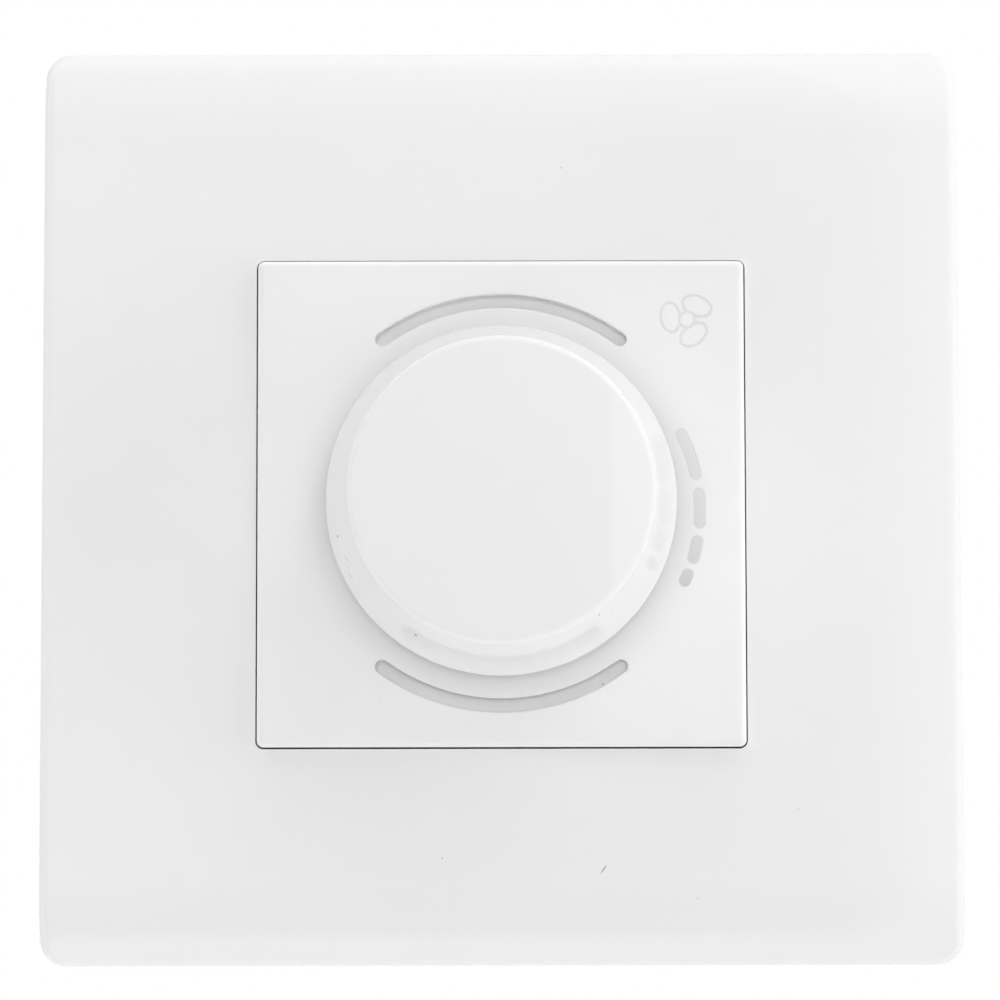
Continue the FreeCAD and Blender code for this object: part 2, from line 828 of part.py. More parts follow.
def make_pot_shaft():
    """Control shaft: flatted tip, round bearing length, clip groove and square drive."""
    tip = flatted_rod(
        "shaft_tip_end", "shaft_radius", "shaft_flat", "shaft_tip - knob_boss_end", "knob_boss_end"
    )
    bearing = rod("shaft_bearing", "shaft_radius", "knob_boss_end - clip_front", "0", "0", "clip_front")
    neck = rod(
        "shaft_neck", "shaft_radius - 0.5", "clip_front - shoulder_front", "0", "0", "shoulder_front"
    )
    shoulder = rod("shaft_shoulder", "shaft_radius - 0.1", "shoulder_long", "0", "0", "shoulder_back")
    drive = block(
        "shaft_drive", "drive_side", "drive_side", "shoulder_back - shaft_end", "0", "0", "shaft_end"
    )
    return fuse("pot_shaft", [tip, bearing, neck, shoulder, drive])


def ring_of(name, outer, inner, length, forward):
    """A plain ring about the shaft."""
    disc = rod(name + "_disc", outer, length, "0", "0", forward)
    return cut(name, disc, [rod(name + "_bore", inner, length, "0", "0", forward)])


def make_shaft_clip():
    """Open clip in the shaft's groove that keeps the shaft from being pulled out."""
    disc = rod("clip_disc", "clip_radius", "clip_thick", "0", "0", "clip_back")
    bore = rod("clip_bore", "shaft_radius - 0.5 + shaft_fit", "clip_thick", "0", "0", "clip_back")
    mouth = block(
        "clip_mouth",
        "2 * shaft_radius - 2",
        "clip_radius",
        "clip_thick",
        "0",
        "-clip_radius / 2",
        "clip_back",
    )
    return cut("shaft_clip", disc, [bore, mouth])


def make_pot_bushing():
    """Flanged bushing that carries the shaft and holds the potentiometer to the heat sink."""
    flange = rod("bushing_flange", "pot_radius", "flange_deep", "0", "0", "flange_back")
    sleeve = rod("bushing_sleeve", "bushing_radius", "bushing_front - sink_back", "0", "0", "sink_back")
    length = "bushing_front - flange_back"
    bore = rod("bushing_bore", "shaft_radius + shaft_fit", length, "0", "0", "flange_back")
    return cut("pot_bushing", fuse("bushing_blank", [flange, sleeve]), [bore])


def make_bushing_nut():
    """Hexagon nut on the bushing, in front of the heat sink."""
    blank = hexagon("nut_blank", "nut_flats", "nut_thick", "0", "0", "nut_back")
    bore = rod("nut_bore", "bushing_radius + shaft_fit", "nut_thick", "0", "0", "nut_back")
    return cut("bushing_nut", blank, [bore])


def make_pot_case():
    """Round metal case of the potentiometer with a stop inside and a gap for the wafer's tongue."""
    length = "flange_back - track_back"
    shell = rod("case_shell", "pot_radius", length, "0", "0", "track_back")
    inside = rod("case_hollow", "case_inside", length, "0", "0", "track_back")
    gap_tall = "pot_radius - track_hole"
    gap_deep = "track_thick + 2 * running_gap"
    low = "-(pot_radius + track_hole) / 2 - 1"
    gap = block("case_gap", "tongue_wide + 0.4", gap_tall, gap_deep, "0", low, "track_back - running_gap")
    wall = cut("case_wall_ring", shell, [inside, gap])
    stop_tall = "case_inside - rotor_radius - running_gap + 0.3"
    middle = "-(case_inside + 0.3 - (%s) / 2)" % stop_tall
    stop = block("case_stop", "stop_wide", stop_tall, "rotor_thick", "0", middle, "rotor_back")
    return fuse("pot_case", [wall, stop])


def make_wiper_rotor():
    """Rotor driven by the square of the shaft, with the lug that meets the stop."""
    disc = rod("rotor_disc", "rotor_radius", "rotor_thick", "0", "0", "rotor_back")
    lug_tall = "case_inside - running_gap - rotor_radius + 1"
    middle = "case_inside - running_gap - (%s) / 2" % lug_tall
    lug = block("rotor_lug", "rotor_lug_wide", lug_tall, "rotor_thick", "0", middle, "rotor_back")
    side = "drive_side + 2 * drive_fit"
    hole = block("rotor_hole", side, side, "rotor_thick", "0", "0", "rotor_back")
    return cut("wiper_rotor", fuse("rotor_blank", [disc, lug]), [hole])


def make_wiper_contact():
    """Contact strip under the rotor whose nose runs on the track."""
    strip_tall = "rotor_radius - drive_side"
    middle = "rotor_radius - 0.3 - (%s) / 2" % strip_tall
    strip = block("wiper_strip", "wiper_wide", strip_tall, "wiper_thick", "0", middle, "wiper_back")
    nose_long = "running_gap - 0.05"
    nose = rod("wiper_nose", "wiper_wide / 4", nose_long, "0", middle, "track_front + 0.05")
    return fuse("wiper_contact", [strip, nose])


def pot_pins():
    """Places of the potentiometer's three pins."""
    return [(offset + "terminal_pitch", "-pin_place") for offset in ("-", "0 * ", "")]


def make_track_wafer():
    """Wafer that carries the resistance track, with a tongue for the pins."""
    disc = rod("wafer_disc", "case_inside - hole_play", "track_thick", "0", "0", "track_back")
    tall = "pin_place + 1 - track_hole - 1"
    tongue = block(
        "wafer_tongue",
        "tongue_wide",
        tall,
        "track_thick",
        "0",
        "-(pin_place + 1 - (%s) / 2)" % tall,
        "track_back",
    )
    tools = [rod("wafer_hole", "track_hole", "track_thick", "0", "0", "track_back")]
    for x, z in pot_pins():
        tools.append(rod("wafer_pin_hole", "pin_radius + shaft_fit", "track_thick", x, z, "track_back"))
    return cut("track_wafer", fuse("wafer_blank", [disc, tongue]), tools)


def make_pot_terminals():
    """Three riveted pins from the wafer to the board."""
    pins = []
    for x, z in pot_pins():
        pin = rod("pot_pin", "pin_radius", "track_front - lead_end", x, z, "lead_end")
        head = rod("pot_pin_head", "2 * pin_radius", "0.4", x, z, "track_front")
        pins.append(fuse("pot_pin_riveted", [pin, head]))
    return group("pot_terminals", pins)


def switch_pins():
    """Places of the two fixed contacts."""
    return [("contact_place", "0"), ("-contact_place", "0")]


def make_switch_case():
    """Round case of the push switch, open at the front for the plunger."""
    shell = rod("switch_shell", "pot_radius", "track_back - board_front", "0", "0", "board_front")
    length = "track_back - switch_wall - switch_floor"
    tools = [rod("switch_hollow", "switch_inside", length, "0", "0", "switch_floor")]
    front = "track_back - switch_wall"
    tools.append(rod("switch_mouth", "track_hole", "switch_wall", "0", "0", front))
    for x, z in switch_pins():
        tools.append(
            rod("switch_pin_hole", "lead_radius + shaft_fit", "switch_back_wall", x, z, "board_front")
        )
    return cut("switch_case", shell, tools)


def make_switch_plunger():
    """Plunger that the shaft pushes: nose, flange and spring stem."""
    nose = rod("plunger_nose", "plunger_radius", "shaft_end - flange_front", "0", "0", "flange_front")
    flange = rod("plunger_plate", "plunger_flange", "plunger_flange_deep", "0", "0", "bridge_front")
    stem_back = "bridge_back - stem_end"
    stem = rod("plunger_stem", "stem_radius", "bridge_thick + stem_end", "0", "0", stem_back)
    return fuse("switch_plunger", [nose, flange, stem])


def make_contact_bridge():
    """Moving bar that joins the two fixed contacts."""
    bar = block("bridge_bar", "bridge_long", "bridge_wide", "bridge_thick", "0", "0", "bridge_back")
    hole = rod("bridge_hole", "stem_radius + shaft_fit", "bridge_thick", "0", "0", "bridge_back")
    return cut("contact_bridge", bar, [hole])


def make_switch_contacts():
    """Two fixed contacts with pins down to the board."""
    pieces = []
    for x, z in switch_pins():
        disc = rod("contact_disc", "contact_radius", "contact_thick", x, z, "switch_floor")
        pin = rod("contact_pin", "lead_radius", "switch_floor - lead_end", x, z, "lead_end")
        pieces.append(fuse("contact_piece", [disc, pin]))
    return group("switch_contacts", pieces)


def make_return_spring():
    """Coil spring behind the contact bar."""
    body = new_body("return_spring")
    start = "-(switch_floor + spring_wire)"
    wire = sketch(
        body, "spring_section", "XY_Plane", "0", circles=[("spring_radius", start, "spring_wire")]
    )
    coil = body.newObject("PartDesign::AdditiveHelix", "spring_coil")
    coil.Profile = wire
    roles = {item.Role: item for item in body.Origin.OriginFeatures}
    coil.ReferenceAxis = (roles["Y_Axis"], [""])
    coil.Mode = "height-turns-angle"
    coil.Reversed = True
    bind(coil, "Height", "bridge_back - switch_floor - 2 * spring_wire")
    bind(coil, "Turns", "spring_turns")
    doc.recompute()
    return body


def make_heat_sink():
    """Square metal plate held between the module front and the back box."""
    plate = block("sink_plate", "sink_side", "sink_side", "sink_thick", "0", "0", "sink_back")
    tools = [rod("sink_bore", "bushing_radius + hole_play", "sink_thick", "0", "0", "sink_back")]
    for x, z in four("column_place"):
        tools.append(rod("sink_screw_hole", "screw_radius + screw_play", "sink_thick", x, z, "sink_back"))
    hole = "triac_screw_radius + hole_play"
    tools.append(rod("sink_triac_hole", hole, "sink_thick", "lane", "triac_screw_place", "sink_back"))
    return cut("heat_sink", plate, tools)


def triac_pins():
    """Places of the triac's three leads."""
    return [("lane" + offset, "-triac_lead_place") for offset in (" - triac_pitch", "", " + triac_pitch")]


def make_triac():
    """Power device bolted flat under the heat sink, its leads bent back to the board."""
    spot = ("lane", "-triac_long / 2", "sink_back - triac_deep")
    pieces = [block("triac_body", "triac_wide", "triac_long", "triac_deep", *spot)]
    tab_middle = "(triac_tab_long - triac_long) / 2"
    tab = "triac_tab_long + triac_long"
    pieces.append(
        block("triac_tab", "triac_wide", tab, "triac_tab_thick", "lane", tab_middle, "triac_tab_back")
    )
    height = "sink_back - triac_deep / 2 - triac_tab_thick / 2"
    side = "2 * lead_radius"
    for x, z in triac_pins():
        run = "triac_lead_place - triac_long + lead_radius + 0.4"
        middle = "-(triac_lead_place + lead_radius - (%s) / 2)" % run
        pieces.append(block("triac_lead_run", side, run, side, x, middle, height))
        pieces.append(block("triac_lead_drop", side, side, "%s - lead_end" % height, x, z, "lead_end"))
    hole = "triac_screw_radius + hole_play"
    bore = rod("triac_bore", hole, "triac_tab_thick", "lane", "triac_screw_place", "triac_tab_back")
    return cut("triac", fuse("triac_blank", pieces), [bore])


def make_triac_screw():
    """Screw that holds the triac to the heat sink."""
    spot = ("lane", "triac_screw_place")
    head = rod("triac_screw_head", "triac_head_radius", "triac_head_deep", *spot, "sink_front")
    back = "triac_nut_back - triac_screw_end"
    shank = rod("triac_screw_shank", "triac_screw_radius", "sink_front - (%s)" % back, *spot, back)
    slot_spot = (*spot, "sink_front + triac_head_deep - triac_slot_deep")
    slot = block("triac_screw_slot", "2.2 * triac_head_radius", "slot_wide", "triac_slot_deep", *slot_spot)
    return cut("triac_screw", fuse("triac_screw_blank", [head, shank]), [slot])


def make_triac_nut():
    """Nut of the triac's screw."""
    spot = ("lane", "triac_screw_place", "triac_nut_back")
    blank = hexagon("triac_nut_blank", "triac_nut_flats", "triac_nut_thick", *spot)
    bore = rod("triac_nut_bore", "triac_screw_radius + shaft_fit", "triac_nut_thick", *spot)
    return cut("triac_nut", blank, [bore])


def film_pins():
    """Places of the film capacitor's leads."""
    return [("-lane", "film_place + film_long / 2 - 1.5"), ("-lane", "film_place - film_long / 2 + 1.5")]


def timer_pins():
    """Places of the timing capacitor's leads."""
    return [("-lane", "-timer_place + timer_long / 2 - 1"), ("-lane", "-timer_place - timer_long / 2 + 1")]


def boxed_capacitor(name, wide, tall, deep, x, z, pins):
    """A boxed capacitor standing on the board."""
    pieces = [block(name + "_box", wide, tall, deep, x, z, "board_front")]
    for across, up in pins:
        pieces.append(
            rod(name + "_lead", "lead_radius", "board_front - lead_end + 0.5", across, up, "lead_end")
        )
    return fuse(name, pieces)


def choke_pins():
    """Places of the choke's leads."""
    return [("choke_radius * 0.7", "lane"), ("-choke_radius * 0.7", "lane")]


def make_choke_core():
    """Ring core of the choke, standing on the board."""
    return doughnut("choke_core", "choke_radius", "choke_core_radius", "360", "0", "lane", "choke_middle")


def make_choke_winding():
    """Winding that covers most of the core, with its two leads."""
    outer = doughnut("winding_outer", "choke_radius", "winding_radius", "310", "0", "lane", "choke_middle")
    inner_size = "choke_core_radius + winding_fit"
    inner = doughnut("winding_inner", "choke_radius", inner_size, "360", "0", "lane", "choke_middle")
    pieces = [cut("winding_shell", outer, [inner])]
    for x, z in choke_pins():
        top = "choke_middle - choke_radius * 0.714 - choke_core_radius - 0.35"
        pieces.append(rod("choke_lead", "lead_radius", "%s - lead_end" % top, x, z, "lead_end"))
    return fuse("choke_winding", pieces)


def axial(name, radius, length, span, x, z):
    """A round part lying along Z just above the board, on two bent leads."""
    height = "board_front + %s + 0.05" % radius
    half = "(%s) / 2" % span
    pieces = [rod(name + "_body", radius, length, x, "%s - (%s) / 2" % (z, length), height, "up")]
    pieces.append(rod(name + "_wire", "lead_radius", span, x, "%s - %s" % (z, half), height, "up"))
    for sign in ("+", "-"):
        spot = "%s %s %s" % (z, sign, half)
        pieces.append(rod(name + "_leg", "lead_radius", "%s - lead_end" % height, x, spot, "lead_end"))
    return fuse(name, pieces)


def resistor_places():
    """Places of the resistors' middles."""
    return ["lane - resistor_apart / 2", "lane + resistor_apart / 2"]


def make_resistors():
    """Two resistors under the triac."""
    pieces = []
    for x in resistor_places():
        pieces.append(axial("resistor", "resistor_radius", "resistor_long", "resistor_span", x, "-1"))
    return group("resistors", pieces)


def make_diac():
    """Trigger diode beside the triac's tab."""
    return axial("diac", "diac_radius", "diac_long", "diac_span", "lane", "diac_middle")


def make_fuse_tube():
    """Glass body of the fuse."""
    length = "fuse_long - 1"
    return rod("fuse_tube", "fuse_radius", length, "-(%s) / 2" % length, "-lane", "fuse_middle", "right")


def make_fuse_caps():
    """Two metal end caps over the glass."""
    caps = []
    size = "fuse_radius + fuse_cap_wall"
    for start in ("-fuse_long / 2", "fuse_long / 2 - fuse_cap_long"):
        cap = rod("fuse_cap_blank", size, "fuse_cap_long", start, "-lane", "fuse_middle", "right")
        length = "fuse_long - 1 + 0.04"
        glass = rod(
            "fuse_cap_hollow",
            "fuse_radius + 0.02",
            length,
            "-(%s) / 2" % length,
            "-lane",
            "fuse_middle",
            "right",
        )
        caps.append(cut("fuse_cap", cap, [glass]))
    return group("fuse_caps", caps)


def fuse_pins():
    """Places of the fuse clips' pins."""
    return [("fuse_clip_place", "-lane"), ("-fuse_clip_place", "-lane")]


def make_fuse_clips():
    """Two clips that hold the fuse on the board."""
    clips = []
    size = "fuse_radius + fuse_cap_wall"
    for x, z in fuse_pins():
        tall = "2 * (%s) + 1.2" % size
        deep = "fuse_middle - board_front + 1"
        blank = block("fuse_clip_blank", "fuse_clip_long", tall, deep, x, z, "board_front")
        start = "%s - fuse_clip_long / 2 - 1" % x
        bed = rod("fuse_clip_bed", size + " + 0.02", "fuse_clip_long + 2", start, z, "fuse_middle", "right")
        pin = rod("fuse_clip_pin", "pin_radius", "board_front - lead_end + 0.2", x, z, "lead_end")
        clips.append(fuse("fuse_clip", [cut("fuse_clip_body", blank, [bed]), pin]))
    return group("fuse_clips", clips)


def cage_places():
    """Sideways places of the two terminals."""
    return ["cage_apart / 2", "-cage_apart / 2"]


def make_terminal_body():
    """Insulating block with a pocket, a wire entry and a screw entry for each terminal."""
    spot = ("0", "terminal_place", "terminal_back")
    blank = block("terminal_blank", "terminal_wide", "terminal_tall", "terminal_deep", *spot)
    tools = []
    for x in cage_places():
        wide = "cage_wide + 2 * hole_play"
        tall = "cage_tall + 2 * hole_play"
        deep = "terminal_front - cage_back + 1"
        tools.append(block("terminal_pocket", wide, tall, deep, x, "terminal_place", "cage_back"))
        low = "terminal_place - terminal_tall / 2 - 1"
        length = "terminal_tall / 2 + 1"
        tools.append(rod("terminal_wire_hole", "wire_radius + 0.3", length, x, low, "wire_forward", "up"))
        radius = "clamp_head + 0.3"
        spot = (x, "terminal_place", "terminal_back - 1")
        tools.append(rod("terminal_screw_hole", radius, "terminal_wall + 1", *spot))
    return cut("terminal_body", blank, tools)


def make_terminal_cages():
    """Two brass terminals, each with a wire bore from below and a pin to the board."""
    cages = []
    for x in cage_places():
        deep = "cage_front - cage_back"
        blank = block("cage_blank", "cage_wide", "cage_tall", deep, x, "terminal_place", "cage_back")
        spot = (x, "terminal_place", "cage_front - 0.2")
        pin = rod("cage_pin", "pin_radius", "board_front - cage_front", *spot)
        low = "terminal_place - cage_tall / 2"
        bore = rod("cage_bore", "wire_radius", "cage_tall", x, low, "wire_forward", "up")
        length = "wire_forward - cage_back"
        thread = rod("cage_thread", "clamp_radius + screw_fit", length, x, "terminal_place", "cage_back")
        cages.append(cut("cage", fuse("cage_solid", [blank, pin]), [bore, thread]))
    return group("terminal_cages", cages)


def make_terminal_screws():
    """Two clamp screws, backed off clear of the wire bores."""
    screws = []
    for x in cage_places():
        head_front = "cage_back - 0.15"
        shank = rod(
            "clamp_shank",
            "clamp_radius",
            "clamp_tip - (%s)" % head_front,
            x,
            "terminal_place",
            head_front,
        )
        head = rod(
            "clamp_head_disc",
            "clamp_head",
            "clamp_head_deep",
            x,
            "terminal_place",
            "%s - clamp_head_deep" % head_front,
        )
        slot = block(
            "clamp_slot",
            "6",
            "slot_wide",
            "0.7",
            x,
            "terminal_place",
            "%s - clamp_head_deep" % head_front,
        )
        screws.append(cut("clamp_screw", fuse("clamp_blank", [shank, head]), [slot]))
    return group("terminal_screws", screws)


def board_pins():
    """Every lead that goes through the board, with its radius."""
    pins = [(x, z, "pin_radius") for x, z in pot_pins() + fuse_pins()]
    thin = switch_pins() + film_pins() + timer_pins() + choke_pins()
    for x in resistor_places():
        thin += [(x, "-1 + resistor_span / 2"), (x, "-1 - resistor_span / 2")]
    thin += [("lane", "diac_middle + diac_span / 2"), ("lane", "diac_middle - diac_span / 2")]
    pins += [(x, z, "lead_radius") for x, z in thin]
    pins += [(x, z, "1.5 * lead_radius") for x, z in triac_pins()]
    pins += [(x, "terminal_place", "pin_radius") for x in cage_places()]
    return pins


def make_circuit_board():
    """Board with notched corners and a hole for every lead."""
    plate = block("board_plate", "board_side", "board_side", "board_thick", "0", "0", "board_back")
    tools = []
    notch = "board_notch + 0.02"
    middle = "(board_side - board_notch) / 2"
    for x, z in four(middle):
        tools.append(block("board_corner", notch, notch, "board_thick", x, z, "board_back"))
    for x, z, radius in board_pins():
        tools.append(rod("board_hole", radius + " + hole_play", "board_thick", x, z, "board_back"))
    return cut("circuit_board", plate, tools)


def housing_cuts():
    """Side vents, terminal window and screw entries of the back box."""
    tools = []
    for side in ("", "-"):
        x = side + "(housing_side / 2 - housing_wall / 2)"
        for step in ("-2", "-1", "0", "1", "2"):
            z = "%s * vent_pitch" % step
            back = "terminal_back + 1.5"
            tools.append(block("vent", "housing_wall + 0.2", "vent_tall", "vent_deep", x, z, back))
    wide = "terminal_wide - 2 * window_margin"
    deep = "terminal_deep - 2 * window_margin"
    low = "-(housing_side - housing_wall) / 2"
    back = "terminal_back + window_margin"
    tools.append(block("terminal_window", wide, "housing_wall + 0.2", deep, "0", low, back))
    for x in cage_places():
        radius = "clamp_head + 0.5"
        tools.append(
            rod("screw_entry", radius, "housing_back_wall + 1", x, "terminal_place", "housing_back - 1")
        )
    return tools


def make_rear_housing():
    """Back box of the module, with screw columns, board posts, snap lugs, vents and a window."""
    body = new_body("housing_blank")
    outline = sketch(body, "housing_outline", "XZ_Plane", "housing_back", [square("housing_side")])
    pad(body, "housing_solid", outline, "sink_front - housing_back")
    half = "housing_side / 2"
    round_edges(body, "housing_corners", lambda edge: runs_forward_at(edge, half), "housing_corner")
    round_edges(body, "housing_back_round", lambda edge: lies_at(edge, "housing_back"), "housing_round")
    hollow = sketch(body, "housing_hollow", "XZ_Plane", "terminal_back", [square("housing_inside")])
    pocket(body, "housing_cavity", hollow, "sink_front - terminal_back + 1")
    places = four("column_place")
    columns = [(x, z, "column_radius") for x, z in places]
    tall = sketch(body, "column_outline", "XZ_Plane", "terminal_back - 0.5", circles=columns)
    pad(body, "columns", tall, "sink_back - terminal_back + 0.5")
    spots = [("post_side", "0"), ("-post_side", "0")]
    spots += [("post_side / 2", "post_side"), ("-post_side / 2", "post_side")]
    posts = [(x, z, "post_radius") for x, z in spots]
    short = sketch(body, "post_outline", "XZ_Plane", "terminal_back - 0.5", circles=posts)
    pad(body, "posts", short, "board_back - terminal_back + 0.5")
    holes = [(x, z, "screw_radius + screw_play") for x, z in places]
    drilled = sketch(body, "screw_outline", "XZ_Plane", "housing_back", circles=holes)
    pocket(body, "screw_holes", drilled, "sink_back - housing_back")
    sinks = [(x, z, "screw_head + 0.3") for x, z in places]
    sunk = sketch(body, "sink_outline", "XZ_Plane", "housing_back", circles=sinks)
    pocket(body, "screw_sinks", sunk, "screw_sink")
    lugs = []
    for sign in ("", "-"):
        near_edge = sign + "(housing_side / 2 - 0.3)"
        far_edge = sign + "(housing_side / 2 + lug_reach)"
        lugs.append(rectangle("-lug_wide / 2", "lug_wide / 2", near_edge, far_edge))
    catch = sketch(body, "lug_outline", "XZ_Plane", "-(lug_deep + lug_play)", lugs)
    pad(body, "lugs", catch, "lug_deep")
    return cut("rear_housing", body, housing_cuts())


def make_housing_screws():
    """Four long screws from the back box into the module front."""
    screws = []
    for x, z in four("column_place"):
        length = "sink_front + pilot_deep - 0.3 - screw_seat"
        shank = rod("long_shank", "screw_radius", length, x, z, "screw_seat")
        head = rod("long_head", "screw_head", "screw_head_deep", x, z, "screw_seat - screw_head_deep")
        slot = block("long_slot", "6", "slot_wide", "0.7", x, z, "screw_seat - screw_head_deep")
        screws.append(cut("long_screw", fuse("long_blank", [shank, head]), [slot]))
    return group("housing_screws", screws)


def make_parts():
    """Build every sub-part and return the finished ones."""
    marks = make_speed_marks()
    symbol = make_fan_symbol()
    film = ("film_wide", "film_long", "film_tall", "-lane", "film_place", film_pins())
    timer = ("timer_wide", "timer_long", "timer_tall", "-lane", "-timer_place", timer_pins())
    washer = ("washer_radius", "bushing_radius + hole_play", "washer_thick", "sink_front")
    return [
        make_face_plate(),
        make_mounting_frame(),
        make_centre_panel([marks, symbol]),
        marks,
        symbol,
        make_knob(),
        make_pot_shaft(),
        make_shaft_clip(),
        make_pot_bushing(),
        ring_of("lock_washer", *washer),
        make_bushing_nut(),
        make_pot_case(),
        make_wiper_rotor(),
        make_wiper_contact(),
        make_track_wafer(),
        make_pot_terminals(),
        make_switch_case(),
        make_switch_plunger(),
        make_contact_bridge(),
        make_switch_contacts(),
        make_return_spring(),
        make_heat_sink(),
        make_triac(),
        make_triac_screw(),
        make_triac_nut(),
        make_circuit_board(),
        boxed_capacitor("film_capacitor", *film),
        boxed_capacitor("timing_capacitor", *timer),
        make_choke_core(),
        make_choke_winding(),
        make_resistors(),
        make_diac(),
        make_fuse_tube(),
        make_fuse_caps(),
        make_fuse_clips(),
        make_terminal_body(),
        make_terminal_cages(),
        make_terminal_screws(),
        make_rear_housing(),
        make_housing_screws(),
    ]


def write_parts(parts):
    """Check every shape, then write each sub-part to a file under its own name."""
    doc.recompute()
    for item in doc.Objects:
        if "Invalid" in item.State or "Error" in item.State:
            raise RuntimeError("%s did not build: %s" % (item.Label, item.State))
    os.makedirs("parts", exist_ok=True)
    for item in parts:
        if item.Shape.isNull() or not item.Shape.isValid():
            raise RuntimeError("%s has no sound shape" % item.Label)
        item.Shape.exportStep("parts/%s.step" % item.Label)
        box = item.Shape.BoundBox
        size = (box.XLength, box.YLength, box.ZLength)
        print(
            item.Label,
            len(item.Shape.Solids),
            "solids",
            round(item.Shape.Volume, 1),
            "%.2f %.2f %.2f" % size,
        )


fill_sheet()
write_parts(make_parts())
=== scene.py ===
import json
import logging
import math
from dataclasses import dataclass, field
from enum import Enum
from typing import Iterable, Optional, Sequence

import bmesh
import bpy
from mathutils import Matrix, Vector


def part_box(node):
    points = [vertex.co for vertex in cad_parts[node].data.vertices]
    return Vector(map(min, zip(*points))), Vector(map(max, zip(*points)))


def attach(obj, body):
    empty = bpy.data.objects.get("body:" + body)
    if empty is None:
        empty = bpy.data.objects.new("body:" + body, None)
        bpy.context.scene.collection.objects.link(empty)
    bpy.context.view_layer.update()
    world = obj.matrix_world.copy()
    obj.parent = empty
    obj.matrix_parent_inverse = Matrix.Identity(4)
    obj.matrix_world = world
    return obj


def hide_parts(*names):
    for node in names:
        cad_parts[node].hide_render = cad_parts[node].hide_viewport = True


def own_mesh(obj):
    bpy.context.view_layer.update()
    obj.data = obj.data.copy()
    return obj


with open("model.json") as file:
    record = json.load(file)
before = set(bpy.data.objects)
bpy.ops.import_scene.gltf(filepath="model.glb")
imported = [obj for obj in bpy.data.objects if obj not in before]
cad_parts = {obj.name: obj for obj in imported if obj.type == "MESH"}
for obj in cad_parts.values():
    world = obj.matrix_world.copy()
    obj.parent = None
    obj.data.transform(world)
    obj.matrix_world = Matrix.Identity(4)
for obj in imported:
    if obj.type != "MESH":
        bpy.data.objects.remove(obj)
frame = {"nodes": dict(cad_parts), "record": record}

# Looks of the fan speed control switch. X goes right, Y into the wall, Z up, in metres.
# Sizes that are easier to read in millimetres end in _mm.

Tone = tuple[float, float, float]
Socket = bpy.types.NodeSocket

log = logging.getLogger("fan_switch")
MM = 0.001
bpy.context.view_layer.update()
RING_PITCH_MM = 0.314  # pitch of Blender's ring pattern at a scale of 1
NOISE_RANGE = (0.3, 0.7)  # where nearly all of a cloudy pattern lies
MASK_EDGE_MM = 0.02  # width of the blend at the edge of a mask
RING_WAVER = 0.6  # how far the rings of turned metal stray from true circles
SPECK_FADE = 0.6  # share of a speck's radius over which it fades out
PLASTIC_IOR = 1.48
LACQUER_IOR = 1.5
GLASS_IOR = 1.47


def linear(level: float) -> float:
    """Turn a display level from 0 to 255 into a linear value."""
    share = level / 255.0
    return share / 12.92 if share <= 0.04045 else ((share + 0.055) / 1.055) ** 2.4


def tone(red: float, green: Optional[float] = None, blue: Optional[float] = None) -> Tone:
    """Colour from display levels.

    Args:
        red: Level of red, or of all three where the others are left out.
        green: Level of green.
        blue: Level of blue.

    Returns:
        The linear colour.
    """
    green = red if green is None else green
    blue = red if blue is None else blue
    return linear(red), linear(green), linear(blue)


def shaded(colour: Tone, share: float) -> Tone:
    """Colour made darker or lighter by a share of itself."""
    return tuple(min(1.0, part * share) for part in colour)


TIN = tone(205, 204, 198)


class Axis(Enum):
    """Axes that a piece may lie along, by their place in a vector."""

    DEEP = 1
    UP = 2


class Lay(Enum):
    """Ways in which the skin of a metal piece was worked."""

    TURNED = "turned"
    ROLLED = "rolled"
    DRAWN = "drawn"
    PLATED = "plated"


